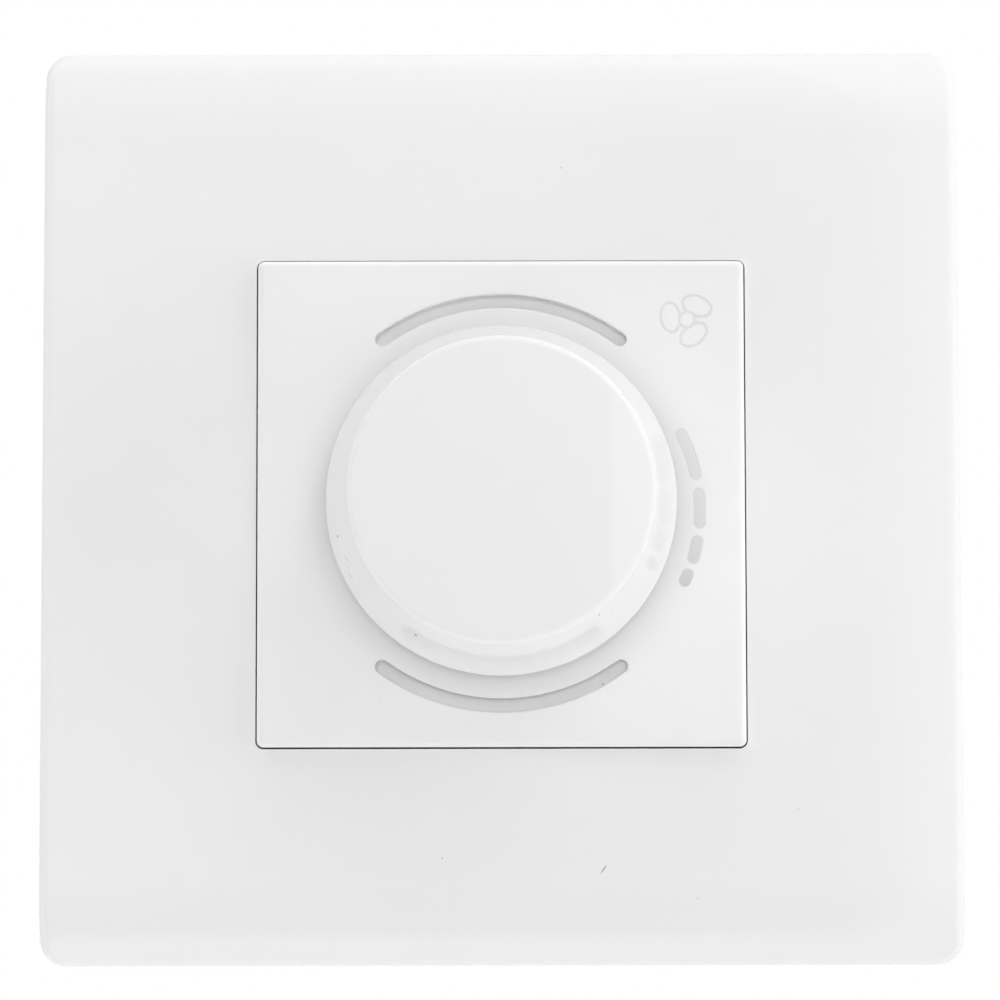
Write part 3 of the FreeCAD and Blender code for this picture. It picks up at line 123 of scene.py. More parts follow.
class Recipe:
    """Node material under construction, with all its lengths in millimetres."""

    def __init__(self, name: str, **constants: float) -> None:
        """Start a material.

        Args:
            name: Name of the material.
            constants: Plain numbers for the shader's sockets, with _ for each space in a name.
        """
        self.material = bpy.data.materials.new(name)
        self.material.use_nodes = True
        self.nodes = self.material.node_tree.nodes
        self.links = self.material.node_tree.links
        self.surface = self.nodes["Principled BSDF"]
        for socket, value in constants.items():
            self.surface.inputs[socket.replace("_", " ")].default_value = value
        grid = self.add("ShaderNodeVectorMath", operation="SCALE")
        self.links.new(self.add("ShaderNodeTexCoord").outputs["Object"], grid.inputs[0])
        grid.inputs["Scale"].default_value = 1.0 / MM
        self.place = grid.outputs["Vector"]

    def add(self, kind: str, **settings: object) -> bpy.types.Node:
        """Add a node and set its options.

        Args:
            kind: Blender's name for the kind of node.
            settings: The node's options with their values.

        Returns:
            The node.
        """
        node = self.nodes.new(kind)
        for option, value in settings.items():
            setattr(node, option, value)
        return node

    def stretched(self, stretch: Sequence[float]) -> Socket:
        """Squeeze the coordinates along each axis.

        Args:
            stretch: A factor for each axis.

        Returns:
            The squeezed coordinates.
        """
        node = self.add("ShaderNodeVectorMath", operation="MULTIPLY")
        self.links.new(self.place, node.inputs[0])
        node.inputs[1].default_value = tuple(stretch)
        return node.outputs["Vector"]

    def noise(
        self, size_mm: float, detail: float = 2.0, stretch: Sequence[float] = (1, 1, 1)
    ) -> Socket:
        """Cloudy pattern.

        Args:
            size_mm: Size of its blotches.
            detail: How many finer layers it has.
            stretch: Factors that squeeze it along each axis.

        Returns:
            A value from 0 to 1.
        """
        node = self.add("ShaderNodeTexNoise")
        node.inputs["Scale"].default_value = 1.0 / size_mm
        node.inputs["Detail"].default_value = detail
        self.links.new(self.stretched(stretch), node.inputs["Vector"])
        return node.outputs[0]

    def cells(self, size_mm: float) -> Socket:
        """Pattern of cells.

        Args:
            size_mm: Size of a cell.

        Returns:
            The distance from the nearest edge between two cells.
        """
        node = self.add("ShaderNodeTexVoronoi", feature="DISTANCE_TO_EDGE")
        node.inputs["Scale"].default_value = 1.0 / size_mm
        self.links.new(self.place, node.inputs["Vector"])
        return node.outputs["Distance"]

    def rings(self, pitch_mm: float) -> Socket:
        """Fine rings about the knob's axis, as a lathe leaves them.

        Args:
            pitch_mm: Distance from ring to ring.

        Returns:
            A value from 0 to 1.
        """
        node = self.add("ShaderNodeTexWave", wave_type="RINGS", rings_direction="Y")
        node.inputs["Scale"].default_value = RING_PITCH_MM / pitch_mm
        node.inputs["Distortion"].default_value = RING_WAVER
        self.links.new(self.place, node.inputs["Vector"])
        return node.outputs["Fac"]

    def along(self, axis: Axis) -> Socket:
        """Read the place along one axis.

        Args:
            axis: The axis.

        Returns:
            The place, in millimetres.
        """
        node = self.add("ShaderNodeSeparateXYZ")
        self.links.new(self.place, node.inputs[0])
        return node.outputs[axis.value]

    def spread(
        self, value: Socket, low: float, high: float, start: float = 0.0, end: float = 1.0
    ) -> Socket:
        """Map a value from one range to another, without leaving it.

        Args:
            value: The value.
            low: Result where the value is at the start of its range.
            high: Result where the value is at the end of its range.
            start: Start of the value's range.
            end: End of the value's range.

        Returns:
            The result.
        """
        node = self.add("ShaderNodeMapRange")
        self.links.new(value, node.inputs["Value"])
        limits = {"From Min": start, "From Max": end, "To Min": low, "To Max": high}
        for socket, number in limits.items():
            node.inputs[socket].default_value = number
        return node.outputs["Result"]

    def combine(self, operation: str, first: Socket, second: Socket) -> Socket:
        """Join two values.

        Args:
            operation: Blender's name for what is done, such as MAXIMUM or ADD.
            first: The first value.
            second: The second value.

        Returns:
            The result.
        """
        node = self.add("ShaderNodeMath", operation=operation)
        self.links.new(first, node.inputs[0])
        self.links.new(second, node.inputs[1])
        return node.outputs["Value"]

    def tones(
        self, value: Socket, stops: Iterable[tuple[float, Tone]], stepped: bool = False
    ) -> Socket:
        """Colour by a value.

        Args:
            value: The value.
            stops: Places from 0 to 1, each with its colour.
            stepped: Whether the colour jumps at each place.

        Returns:
            The colour.
        """
        node = self.add("ShaderNodeValToRGB")
        ramp = node.color_ramp
        ramp.interpolation = "CONSTANT" if stepped else "LINEAR"
        for number, (place, colour) in enumerate(stops):
            stop = ramp.elements[number] if number < 2 else ramp.elements.new(place)
            stop.position = place
            stop.color = (*colour, 1.0)
        self.links.new(value, node.inputs["Fac"])
        return node.outputs["Color"]

    def clouded(self, cloud: Socket, dark: Tone, light: Tone) -> Socket:
        """Colour between two tones by a cloudy pattern."""
        return self.tones(cloud, zip(NOISE_RANGE, (dark, light)))

    def over(self, under: Socket, mask: Socket, colour: Tone) -> Socket:
        """Lay a colour over another.

        Args:
            under: The colour below.
            mask: A value that is 1 where the new colour covers it.
            colour: The new colour.

        Returns:
            The colour of both together.
        """
        node = self.add("ShaderNodeMix", data_type="RGBA")
        self.links.new(mask, node.inputs[0])
        self.links.new(under, node.inputs[6])
        node.inputs[7].default_value = (*colour, 1.0)
        return node.outputs[2]

    def spot(self, speck: "Speck") -> Socket:
        """Mask of one small oval speck.

        Args:
            speck: The speck.

        Returns:
            Its strength in the middle and 0 outside.
        """
        node = self.add("ShaderNodeMapping", vector_type="TEXTURE")
        self.links.new(self.place, node.inputs["Vector"])
        node.inputs["Location"].default_value = speck.place
        node.inputs["Rotation"].default_value = (0.0, math.radians(speck.turn), 0.0)
        node.inputs["Scale"].default_value = speck.size
        ball = self.add("ShaderNodeTexGradient", gradient_type="SPHERICAL")
        self.links.new(node.outputs["Vector"], ball.inputs["Vector"])
        return self.spread(ball.outputs["Fac"], 0.0, speck.strength, 0.0, SPECK_FADE)

    def outside(self, axis: Axis, low_mm: float, high_mm: float) -> Socket:
        """Mask of what lies outside two limits.

        Args:
            axis: The axis that the limits lie on.
            low_mm: Lower limit.
            high_mm: Upper limit.

        Returns:
            1 outside the limits and 0 between them.
        """
        value = self.along(axis)
        below = self.spread(value, 1.0, 0.0, low_mm - MASK_EDGE_MM, low_mm)
        above = self.spread(value, 0.0, 1.0, high_mm, high_mm + MASK_EDGE_MM)
        return self.combine("MAXIMUM", below, above)

    def relief(self, height: Socket, depth_mm: float, edge_mm: float = 0.0) -> None:
        """Raise the skin by a pattern and soften its edges.

        Args:
            height: The pattern, from 0 to 1.
            depth_mm: How far it rises.
            edge_mm: Radius of the edges, or 0 to leave them sharp.
        """
        node = self.add("ShaderNodeBump")
        node.inputs["Strength"].default_value = 1.0
        node.inputs["Distance"].default_value = depth_mm * MM
        self.links.new(height, node.inputs["Height"])
        if edge_mm:
            soft = self.add("ShaderNodeBevel", samples=4)
            soft.inputs["Radius"].default_value = edge_mm * MM
            self.links.new(soft.outputs["Normal"], node.inputs["Normal"])
        self.links.new(node.outputs["Normal"], self.surface.inputs["Normal"])

    def feed(self, value: Socket, socket: str) -> None:
        """Lead a value into one of the shader's sockets."""
        self.links.new(value, self.surface.inputs[socket])


@dataclass(frozen=True)
class Speck:
    """Small dark mark on a pale moulding, in millimetres."""

    place: tuple[float, float, float]
    size: tuple[float, float, float]
    turn: float = 0.0
    strength: float = 1.0


@dataclass(frozen=True)
class Leads:
    """Part of a piece that is tinned metal: all that lies outside two limits along an axis."""

    axis: Axis
    low_mm: float
    high_mm: float


@dataclass(frozen=True)
class Moulding:
    """Moulded plastic with a cloudy tone, a fine grain and, on some, specks or metal leads."""

    slot: str
    colour: Tone
    roughness: tuple[float, float]
    grain_mm: float
    grain_depth_mm: float
    mottle: float = 0.01
    specks: tuple[Speck, ...] = ()
    speck_colour: Tone = tone(120)
    leads: Optional[Leads] = None
    edge_mm: float = 0.0
    cloud_mm: float = 9.0
    gloss_mm: float = 2.5

    def material(self) -> bpy.types.Material:
        """Build the node material.

        Returns:
            The material.
        """
        recipe = Recipe(self.slot, IOR=PLASTIC_IOR)
        dark, light = shaded(self.colour, 1 - self.mottle), shaded(self.colour, 1 + self.mottle)
        colour = recipe.clouded(recipe.noise(self.cloud_mm, 3.0), dark, light)
        gloss = recipe.spread(recipe.noise(self.gloss_mm), *self.roughness, *NOISE_RANGE)
        if self.specks:
            masks = [recipe.spot(speck) for speck in self.specks]
            joined = masks[0]
            for mask in masks[1:]:
                joined = recipe.combine("MAXIMUM", joined, mask)
            colour = recipe.over(colour, joined, self.speck_colour)
        if self.leads:
            bare = recipe.outside(self.leads.axis, self.leads.low_mm, self.leads.high_mm)
            colour = recipe.over(colour, bare, TIN)
            recipe.feed(bare, "Metallic")
        recipe.feed(colour, "Base Color")
        recipe.feed(gloss, "Roughness")
        recipe.relief(recipe.noise(self.grain_mm, 4.0), self.grain_depth_mm, self.edge_mm)
        return recipe.material


@dataclass(frozen=True)
class Ink:
    """Thin flat print, with painted shade that leaves it paler towards its upper end and darker
    towards its lower end.
    """

    slot: str
    low_mm: float
    high_mm: float
    stops: tuple[tuple[float, Tone], ...]
    blotch_mm: float = 0.6
    blotch_share: float = 0.04
    gloss_mm: float = 0.3
    roughness: tuple[float, float] = (0.3, 0.42)
    grain_mm: float = 0.12
    grain_depth_mm: float = 0.002

    def material(self) -> bpy.types.Material:
        """Build the node material.

        Returns:
            The material.
        """
        recipe = Recipe(self.slot, IOR=PLASTIC_IOR)
        # Painted shade: the tone runs from dark at the lower limit to pale at the upper, standing in
        # for light that falls from above.
        height = recipe.spread(recipe.along(Axis.UP), 0.0, 1.0, self.low_mm, self.high_mm)
        blotch = recipe.noise(self.blotch_mm, 3.0)
        uneven = recipe.spread(blotch, -self.blotch_share, self.blotch_share, *NOISE_RANGE)
        recipe.feed(recipe.tones(recipe.combine("ADD", height, uneven), self.stops), "Base Color")
        recipe.feed(recipe.spread(recipe.noise(self.gloss_mm), *self.roughness), "Roughness")
        recipe.relief(recipe.noise(self.grain_mm, 3.0), self.grain_depth_mm)
        return recipe.material


@dataclass(frozen=True)
class Metal:
    """Bare or plated metal with the marks of how it was worked."""

    slot: str
    colour: Tone
    roughness: tuple[float, float]
    lay: Lay
    pitch_mm: float = 0.18
    depth_mm: float = 0.003
    tarnish_mm: float = 2.2
    dull_share: float = 0.86
    bright_share: float = 1.06

    def pattern(self, recipe: Recipe) -> Socket:
        """Draw the marks of the tool.

        Args:
            recipe: The material that they are for.

        Returns:
            A value from 0 to 1.
        """
        if self.lay is Lay.TURNED:
            return recipe.rings(self.pitch_mm)
        stretches = {Lay.ROLLED: (0.03, 1, 1), Lay.DRAWN: (1, 0.05, 1), Lay.PLATED: (1, 1, 1)}
        return recipe.noise(self.pitch_mm, 4.0, stretches[self.lay])

    def material(self) -> bpy.types.Material:
        """Build the node material.

        Returns:
            The material.
        """
        recipe = Recipe(self.slot, Metallic=1.0)
        marks = self.pattern(recipe)
        tarnish = recipe.noise(self.tarnish_mm, 4.0)
        dull, bright = shaded(self.colour, self.dull_share), shaded(self.colour, self.bright_share)
        stops = [(0.3, dull), (0.6, self.colour), (0.8, bright)]
        recipe.feed(recipe.tones(tarnish, stops), "Base Color")
        recipe.feed(recipe.spread(marks, *self.roughness, 0.2, 0.8), "Roughness")
        recipe.relief(marks, self.depth_mm)
        return recipe.material


@dataclass(frozen=True)
class Laminate:
    """Circuit board: lacquered laminate with the tracks raised under the lacquer."""

    slot: str
    colour: Tone
    track_colour: Tone
    track_mm: float = 5.0
    track_edge: tuple[float, float] = (0.06, 0.08)
    track_depth_mm: float = 0.03
    mottle: float = 0.1
    mottle_mm: float = 1.2
    gloss_mm: float = 0.8
    roughness: tuple[float, float] = (0.22, 0.4)

    def material(self) -> bpy.types.Material:
        """Build the node material.

        Returns:
            The material.
        """
        recipe = Recipe(self.slot, IOR=LACQUER_IOR)
        track = recipe.spread(recipe.cells(self.track_mm), 0.0, 1.0, *self.track_edge)
        dark, light = shaded(self.colour, 1 - self.mottle), shaded(self.colour, 1 + self.mottle)
        colour = recipe.clouded(recipe.noise(self.mottle_mm, 4.0), dark, light)
        recipe.feed(recipe.over(colour, track, self.track_colour), "Base Color")
        recipe.feed(recipe.spread(recipe.noise(self.gloss_mm), *self.roughness), "Roughness")
        recipe.relief(track, self.track_depth_mm)
        return recipe.material


@dataclass(frozen=True)
class Banded:
    """Lacquered round part with colour bands and tinned leads, lying along one axis."""

    slot: str
    axis: Axis
    low_mm: float
    high_mm: float
    bands: tuple[tuple[float, Tone], ...]
    gloss_mm: float = 0.5
    roughness: tuple[float, float] = (0.2, 0.36)
    dent_mm: float = 0.4
    dent_depth_mm: float = 0.01

    def material(self) -> bpy.types.Material:
        """Build the node material.

        Returns:
            The material.
        """
        recipe = Recipe(self.slot, IOR=LACQUER_IOR, Coat_Weight=0.5, Coat_Roughness=0.1)
        share = recipe.spread(recipe.along(self.axis), 0.0, 1.0, self.low_mm, self.high_mm)
        bare = recipe.outside(self.axis, self.low_mm, self.high_mm)
        colour = recipe.over(recipe.tones(share, self.bands, stepped=True), bare, TIN)
        recipe.feed(colour, "Base Color")
        recipe.feed(bare, "Metallic")
        recipe.feed(recipe.spread(recipe.noise(self.gloss_mm), *self.roughness), "Roughness")
        recipe.relief(recipe.noise(self.dent_mm, 3.0), self.dent_depth_mm)
        return recipe.material


@dataclass(frozen=True)
class Glass:
    """Clear glass with faint drawing lines."""

    slot: str
    colour: Tone
    bright_share: float = 1.03
    roughness: tuple[float, float] = (0.01, 0.06)
    line_mm: float = 0.4
    line_stretch: tuple[float, float, float] = (0.05, 1.0, 1.0)
    line_depth_mm: float = 0.002

    def material(self) -> bpy.types.Material:
        """Build the node material.

        Returns:
            The material.
        """
        recipe = Recipe(self.slot, IOR=GLASS_IOR, Transmission_Weight=1.0)
        lines = recipe.noise(self.line_mm, stretch=self.line_stretch)
        bright = shaded(self.colour, self.bright_share)
        recipe.feed(recipe.clouded(lines, self.colour, bright), "Base Color")
        recipe.feed(recipe.spread(lines, *self.roughness), "Roughness")
        recipe.relief(lines, self.line_depth_mm)
        return recipe.material


Finish = Moulding | Ink | Metal | Laminate | Banded | Glass

WHITE = tone(241)
RESISTOR_TAN = tone(214, 190, 150)
DIAC_BLUE = tone(64, 92, 150)
LEAD_LIMITS = Leads(Axis.DEEP, -50.0, 10.45)
# Painted shade for the marks and the fan symbol: darker towards the bottom, paler towards the top.
MARK_PAINTED_SHADE = ((0.0, tone(205)), (0.26, tone(216)), (0.57, tone(222)), (1.0, tone(226)))
RESISTOR_BANDS = (
    (0.0, RESISTOR_TAN),
    (0.16, tone(120, 66, 40)),
    (0.26, RESISTOR_TAN),
    (0.36, tone(30)),
    (0.46, RESISTOR_TAN),
    (0.54, tone(224, 140, 40)),
    (0.64, RESISTOR_TAN),
    (0.78, tone(190, 150, 66)),
    (0.88, RESISTOR_TAN),
)
DIAC_BANDS = ((0.0, DIAC_BLUE), (0.74, tone(24)), (0.88, DIAC_BLUE))
PLATE_SPECKS = (
    Speck((5.72, -8.6, 31.72), (0.13, 1.0, 0.1), 0.0, 0.4),
    Speck((9.44, -8.6, -34.08), (0.07, 1.0, 0.58), 33.0),
    Speck((-5.54, -8.6, -33.04), (0.09, 1.0, 0.09), 0.0, 0.7),
    Speck((27.53, -8.6, -28.56), (0.09, 1.0, 0.08), 0.0, 0.5),
    Speck((18.17, -8.6, -36.77), (0.09, 1.0, 0.09), 0.0, 0.5),
)
PANEL_SPECKS = (
    Speck((9.45, -8.7, -16.9), (0.16, 1.2, 0.07), 35.0),
    Speck((-12.9, -9.7, -11.5), (0.06, 1.0, 0.06), 0.0, 0.5),
    Speck((-11.3, -9.7, -18.5), (0.06, 1.0, 0.06), 0.0, 0.5),
)
KNOB_SPECKS = (
    Speck((-15.0, -16.4, -3.67), (0.08, 1.2, 0.16)),
    Speck((-14.16, -17.0, -5.78), (0.05, 1.5, 0.66), -25.0, 0.35),
    Speck((-14.02, -16.2, -6.55), (0.05, 1.5, 0.26), 36.0, 0.35),
    Speck((-13.85, -15.6, -7.19), (0.05, 1.5, 0.58), -34.0, 0.35),
    Speck((-7.81, -18.4, -12.82), (0.17, 1.2, 0.07), 30.0),
    Speck((8.79, -21.85, -11.23), (0.05, 1.2, 0.12)),
    Speck((10.04, -19.2, -10.93), (0.06, 1.0, 0.06), 0.0, 0.5),
    Speck((10.89, -23.7, 8.52), (0.06, 1.0, 0.06)),
    Speck((10.92, -23.8, -4.98), (0.05, 1.0, 0.05), 0.0, 0.6),
)
FINISHES: tuple[Finish, ...] = (
    Moulding("plate_white", WHITE, (0.06, 0.09), 4.0, 0.0001, 0.004, PLATE_SPECKS, edge_mm=0.12),
    Moulding("panel_white", WHITE, (0.14, 0.2), 1.2, 0.0003, 0.004, PANEL_SPECKS, edge_mm=0.22),
    Moulding("knob_white", WHITE, (0.012, 0.02), 4.0, 0.00003, 0.004, KNOB_SPECKS),
    Ink("mark_grey", -8.0, 6.0, MARK_PAINTED_SHADE),
    Moulding("frame_plastic", tone(214, 214, 211), (0.35, 0.5), 0.25, 0.012, 0.02),
    Moulding("housing_black", tone(44, 44, 46), (0.42, 0.6), 0.2, 0.02, 0.12),
    Moulding("terminal_plastic", tone(222, 221, 214), (0.3, 0.42), 0.4, 0.008, 0.02),
    Metal("shaft_aluminium", tone(206, 206, 208), (0.2, 0.38), Lay.TURNED, 0.16),
    Metal("case_aluminium", tone(200), (0.25, 0.45), Lay.DRAWN, 0.2),
    Metal("sink_aluminium", tone(210, 210, 212), (0.25, 0.5), Lay.ROLLED, 0.15),
    Metal("bushing_brass", tone(214, 186, 120), (0.18, 0.34), Lay.TURNED, 0.2),
    Metal("contact_brass", tone(218, 188, 112), (0.2, 0.4), Lay.ROLLED, 0.2),
    Metal("tinned_brass", TIN, (0.25, 0.45), Lay.PLATED, 0.5),
    Metal("plated_steel", tone(198, 200, 202), (0.2, 0.4), Lay.PLATED, 0.7, 0.006),
    Metal("plated_cap", tone(216, 214, 208), (0.1, 0.22), Lay.DRAWN, 0.25),
    Metal("spring_steel", tone(170, 170, 174), (0.2, 0.36), Lay.PLATED, 0.4),
    Moulding("rotor_nylon", tone(228, 226, 216), (0.35, 0.5), 0.5, 0.006, 0.03),
    Moulding("wafer_brown", tone(150, 104, 62), (0.35, 0.55), 0.3, 0.01, 0.15),
    Moulding("switch_black", tone(42), (0.3, 0.45), 0.3, 0.01, 0.1),
    Moulding("triac_black", tone(36), (0.35, 0.5), 0.15, 0.01, 0.1, leads=Leads(Axis.UP, -9.38, 0.0)),
    Laminate("board_green", tone(58, 116, 70), tone(84, 142, 84)),
    Moulding("film_yellow", tone(226, 190, 70), (0.15, 0.25), 1.0, 0.004, 0.03, leads=LEAD_LIMITS),
    Moulding("timer_red", tone(168, 72, 46), (0.12, 0.22), 1.6, 0.02, 0.06, leads=LEAD_LIMITS),
    Moulding("core_ferrite", tone(214, 206, 120), (0.35, 0.5), 0.3, 0.02, 0.06),
    Metal("winding_copper", tone(208, 128, 76), (0.14, 0.26), Lay.PLATED, 0.8),
    Banded("resistor_tan", Axis.UP, -4.25, 2.25, RESISTOR_BANDS),
    Banded("diac_blue", Axis.UP, 6.6, 10.6, DIAC_BANDS),
    Glass("fuse_glass", tone(246, 249, 249)),
)


class Wardrobe:
    """All finishes as materials, by the slot that each stands for."""

    def __init__(self, finishes: Iterable[Finish]) -> None:
        """Build every material once."""
        self.materials = {finish.slot: finish.material() for finish in finishes}
        self.slots = {row["node"]: row["material_slot"] for row in frame["record"]["subparts"]}

    def dress(self, *nodes: str) -> None:
        """Give solids of the frame the finish of their slot.

        Args:
            nodes: Names of the solids.
        """
        for name in nodes:
            data = frame["nodes"][name].data
            data.materials.clear()
            data.materials.append(self.materials[self.slots[name]])
            log.info("dressed %s as %s", name, self.slots[name])

    def fit(self, piece: bpy.types.Object, body: str, *nodes: str) -> bpy.types.Object:
        """Dress a new piece and put it in the place of solids of the frame.

        Args:
            piece: The new piece, in place.
            body: The body that it moves with.
            nodes: The solids that it stands for, of one finish.

        Returns:
            The piece.
        """
        slot = self.slots[nodes[0]]
        piece.data.materials.clear()
        piece.data.materials.append(self.materials[slot])
        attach(piece, body)
        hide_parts(*nodes)
        log.info("made %s with %d faces", piece.name, len(piece.data.polygons))
        return piece


def wire_mesh(name: str, points: Sequence[Vector], radius: float, sides: int = 10) -> bpy.types.Object:
    """Round wire along a smooth line.

    Args:
        name: Name of the piece.
        points: Points of its middle line, in metres.
        radius: Radius of the wire.
        sides: Corners of its section.

    Returns:
        The wire as a mesh.
    """
    curve = bpy.data.curves.new(name + "_line", "CURVE")
    curve.dimensions = "3D"
    curve.bevel_depth = radius
    curve.bevel_resolution = max(1, sides // 2 - 1)
    curve.resolution_u = 3
    curve.use_fill_caps = True
    line = curve.splines.new("NURBS")
    line.points.add(len(points) - 1)
    for point, place in zip(line.points, points):
        point.co = (*place, 1.0)
    line.order_u = 3
    line.use_endpoint_u = True
    holder = bpy.data.objects.new(name + "_line", curve)
    bpy.context.scene.collection.objects.link(holder)
    bpy.context.view_layer.update()
    graph = bpy.context.evaluated_depsgraph_get()
    mesh = bpy.data.meshes.new_from_object(holder.evaluated_get(graph))
    bpy.data.objects.remove(holder)
    mesh.name = name
    for face in mesh.polygons:
        face.use_smooth = True
    piece = bpy.data.objects.new(name, mesh)
    bpy.context.scene.collection.objects.link(piece)
    return piece


def rounded(corners: Sequence[tuple[float, float, float]], steps: int = 10) -> list[Vector]:
    """Outline with round corners.

    Args:
        corners: Each corner's two coordinates and its radius, which may be 0.
        steps: Straight pieces in each round corner.

    Returns:
        The points of the outline, with one more just before and after each round corner.
    """
    guard = 0.03 * MM
    points = []
    for number, (across, deep, radius) in enumerate(corners):
        spot = Vector((across, deep))
        if not radius:
            points.append(spot)
            continue
        before = (Vector(corners[number - 1][:2]) - spot).normalized()
        after = (Vector(corners[number + 1][:2]) - spot).normalized()
        half = before.angle(after) / 2
        reach = radius / math.tan(half)
        middle = spot + (before + after).normalized() * (radius / math.sin(half))
        start, end = spot + before * reach - middle, spot + after * reach - middle
        points.append(spot + before * (reach + guard))
        for step in range(steps + 1):
            points.append(middle + start.lerp(end, step / steps).normalized() * radius)
        points.append(spot + after * (reach + guard))
    return points


def turned(outline: Sequence[Vector], segments: int = 240) -> bmesh.types.BMesh:
    """Turn an outline about the knob's axis.

    Args:
        outline: Points that start and end on the axis, as radius and depth.
        segments: Number of steps round the axis.

    Returns:
        The closed shape.
    """
    shape = bmesh.new()
    rings = []
    for radius, deep in outline:
        count = segments if radius > 0 else 1
        angles = [2 * math.pi * number / segments for number in range(count)]
        places = [(radius * math.cos(angle), deep, radius * math.sin(angle)) for angle in angles]
        rings.append([shape.verts.new(place) for place in places])
    for inner, outer in zip(rings, rings[1:]):
        for number in range(segments):
            after = (number + 1) % segments
            ends = [inner[number % len(inner)], outer[number % len(outer)]]
            ends += [outer[after % len(outer)], inner[after % len(inner)]]
            shape.faces.new(list(dict.fromkeys(ends)))
    return shape


def finished(name: str, shape: bmesh.types.BMesh, sharp: float = 30.0) -> bpy.types.Object:
    """Make a piece from a shape, smooth but for its sharp edges.

    Args:
        name: Name of the piece.
        shape: The shape, which is used up.
        sharp: Least angle of a sharp edge, in degrees.

    Returns:
        The piece.
    """
    bmesh.ops.recalc_face_normals(shape, faces=shape.faces)
    mesh = bpy.data.meshes.new(name)
    shape.to_mesh(mesh)
    shape.free()
    mesh.shade_smooth()
    mesh.set_sharp_from_angle(angle=math.radians(sharp))
    piece = bpy.data.objects.new(name, mesh)
    bpy.context.scene.collection.objects.link(piece)
    return piece


@dataclass
class WallPlate:
    """Crowned square plate and the frame behind it."""

    wardrobe: Wardrobe

    def dress(self) -> None:
        """Give plate and frame their finishes."""
        self.wardrobe.dress("face_plate", "mounting_frame")


@dataclass
class ModuleFront:
    """Square front of the module with its grooves, marks and fan symbol."""

    wardrobe: Wardrobe

    def dress(self) -> None:
        """Give the front and its print their finishes."""
        self.wardrobe.dress("centre_panel", "speed_marks", "fan_symbol")


@dataclass
class SpeedKnob:
    """Large tapered knob, turned finer than its solid so that its gloss stays even."""

    wardrobe: Wardrobe
    top_radius: float = 13.86 * MM
    dome: float = 0.5 * MM
    top_round: float = 0.65 * MM
    rim_round: float = 0.3 * MM
    wall: float = 1.7 * MM
    top_wall: float = 2.2 * MM
    boss_radius: float = 5.2 * MM
    boss_inset: float = 0.4 * MM
    bore_radius: float = 3.02 * MM
    bore_gap: float = 0.2 * MM
    rib_sink: float = 0.3 * MM
    rib_thick: float = 1.0 * MM
    rib_tall: float = 5.0 * MM
    ribs: int = 6
    dome_steps: int = 24
    dome_share: float = 0.95

    def outline(self) -> list[Vector]:
        """Draw the knob's half section.

        Returns:
            Its points, from the middle of the top round to the end of the bore.
        """
        low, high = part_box("knob")
        top, rim, rim_radius = low.y, high.y, high.x
        ceiling = top + self.top_wall
        boss_end = rim - self.boss_inset
        bore_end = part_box("pot_shaft")[0].y - self.bore_gap
        corners = []
        for step in range(self.dome_steps):
            share = self.dome_share * step / (self.dome_steps - 1)
            corners.append((self.top_radius * share, top + self.dome * share**2, 0.0))
        corners += [
            (self.top_radius, top + self.dome, self.top_round),
            (rim_radius, rim, self.rim_round),
            (rim_radius - self.wall, rim, self.rim_round),
            (self.top_radius - self.wall, ceiling, 0.0),
            (self.boss_radius, ceiling, 0.0),
            (self.boss_radius, boss_end, 0.0),
            (self.bore_radius, boss_end, 0.0),
            (self.bore_radius, bore_end, 0.0),
            (0.0, bore_end, 0.0),
        ]
        return rounded(corners)

    def build(self) -> bpy.types.Object:
        """Turn the knob and set its inner ribs.

        Returns:
            The knob, dressed and in its place.
        """
        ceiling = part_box("knob")[0].y + self.top_wall
        shape = turned(self.outline())
        near, far = self.boss_radius - self.rib_sink, self.top_radius - self.wall + self.rib_sink
        size = Matrix.Diagonal((far - near, self.rib_tall, self.rib_thick, 1.0))
        spot = Matrix.Translation(((near + far) / 2, ceiling + self.rib_tall / 2, 0.0))
        for number in range(self.ribs):
            turn = Matrix.Rotation(2 * math.pi * number / self.ribs, 4, "Y")
            bmesh.ops.create_cube(shape, size=1.0, matrix=turn @ spot @ size)
        return self.wardrobe.fit(finished("knob_turned", shape), "knob", "knob")


@dataclass
class RotaryControl:
    """Shaft, bearing and variable resistor behind the knob."""

    wardrobe: Wardrobe

    def dress(self) -> None:
        """Give the control's pieces their finishes."""
        self.wardrobe.dress("pot_shaft", "shaft_clip", "pot_bushing", "lock_washer", "bushing_nut")
        self.wardrobe.dress("pot_case", "wiper_rotor", "wiper_contact", "track_wafer", "pot_terminals")


@dataclass
class PushSwitch:
    """Push switch behind the control, with its return spring."""

    wardrobe: Wardrobe
    wire_mm: float = 0.15
    turns: float = 3.5
    steps_per_turn: int = 16
    travel_mm: float = 1.5

    def build(self) -> bpy.types.Object:
        """Wind the return spring at one fixed length; it is not made shorter when the knob is pushed.

        Returns:
            The spring, dressed and in its place.
        """
        low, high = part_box("return_spring")
        wire = self.wire_mm * MM
        radius = high.x - wire
        steps = int(self.turns * self.steps_per_turn)
        points = []
        for step in range(steps + 1):
            share = step / steps
            turn = 2 * math.pi * self.turns * share
            deep = low.y + wire + (high.y - low.y - 2 * wire) * share
            points.append(Vector((radius * math.cos(turn), deep, radius * math.sin(turn))))
        coil = self.wardrobe.fit(wire_mesh("return_coil", points, wire), "base", "return_spring")
        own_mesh(coil)
        return coil

    def dress(self) -> None:
        """Give the switch's solids their finishes."""
        self.wardrobe.dress("switch_case", "switch_plunger", "contact_bridge", "switch_contacts")


@dataclass
class PowerStage:
    """Heat sink with the power device bolted to it."""

    wardrobe: Wardrobe

    def dress(self) -> None:
        """Give the pieces their finishes."""
        self.wardrobe.dress("heat_sink", "triac", "triac_screw", "triac_nut")


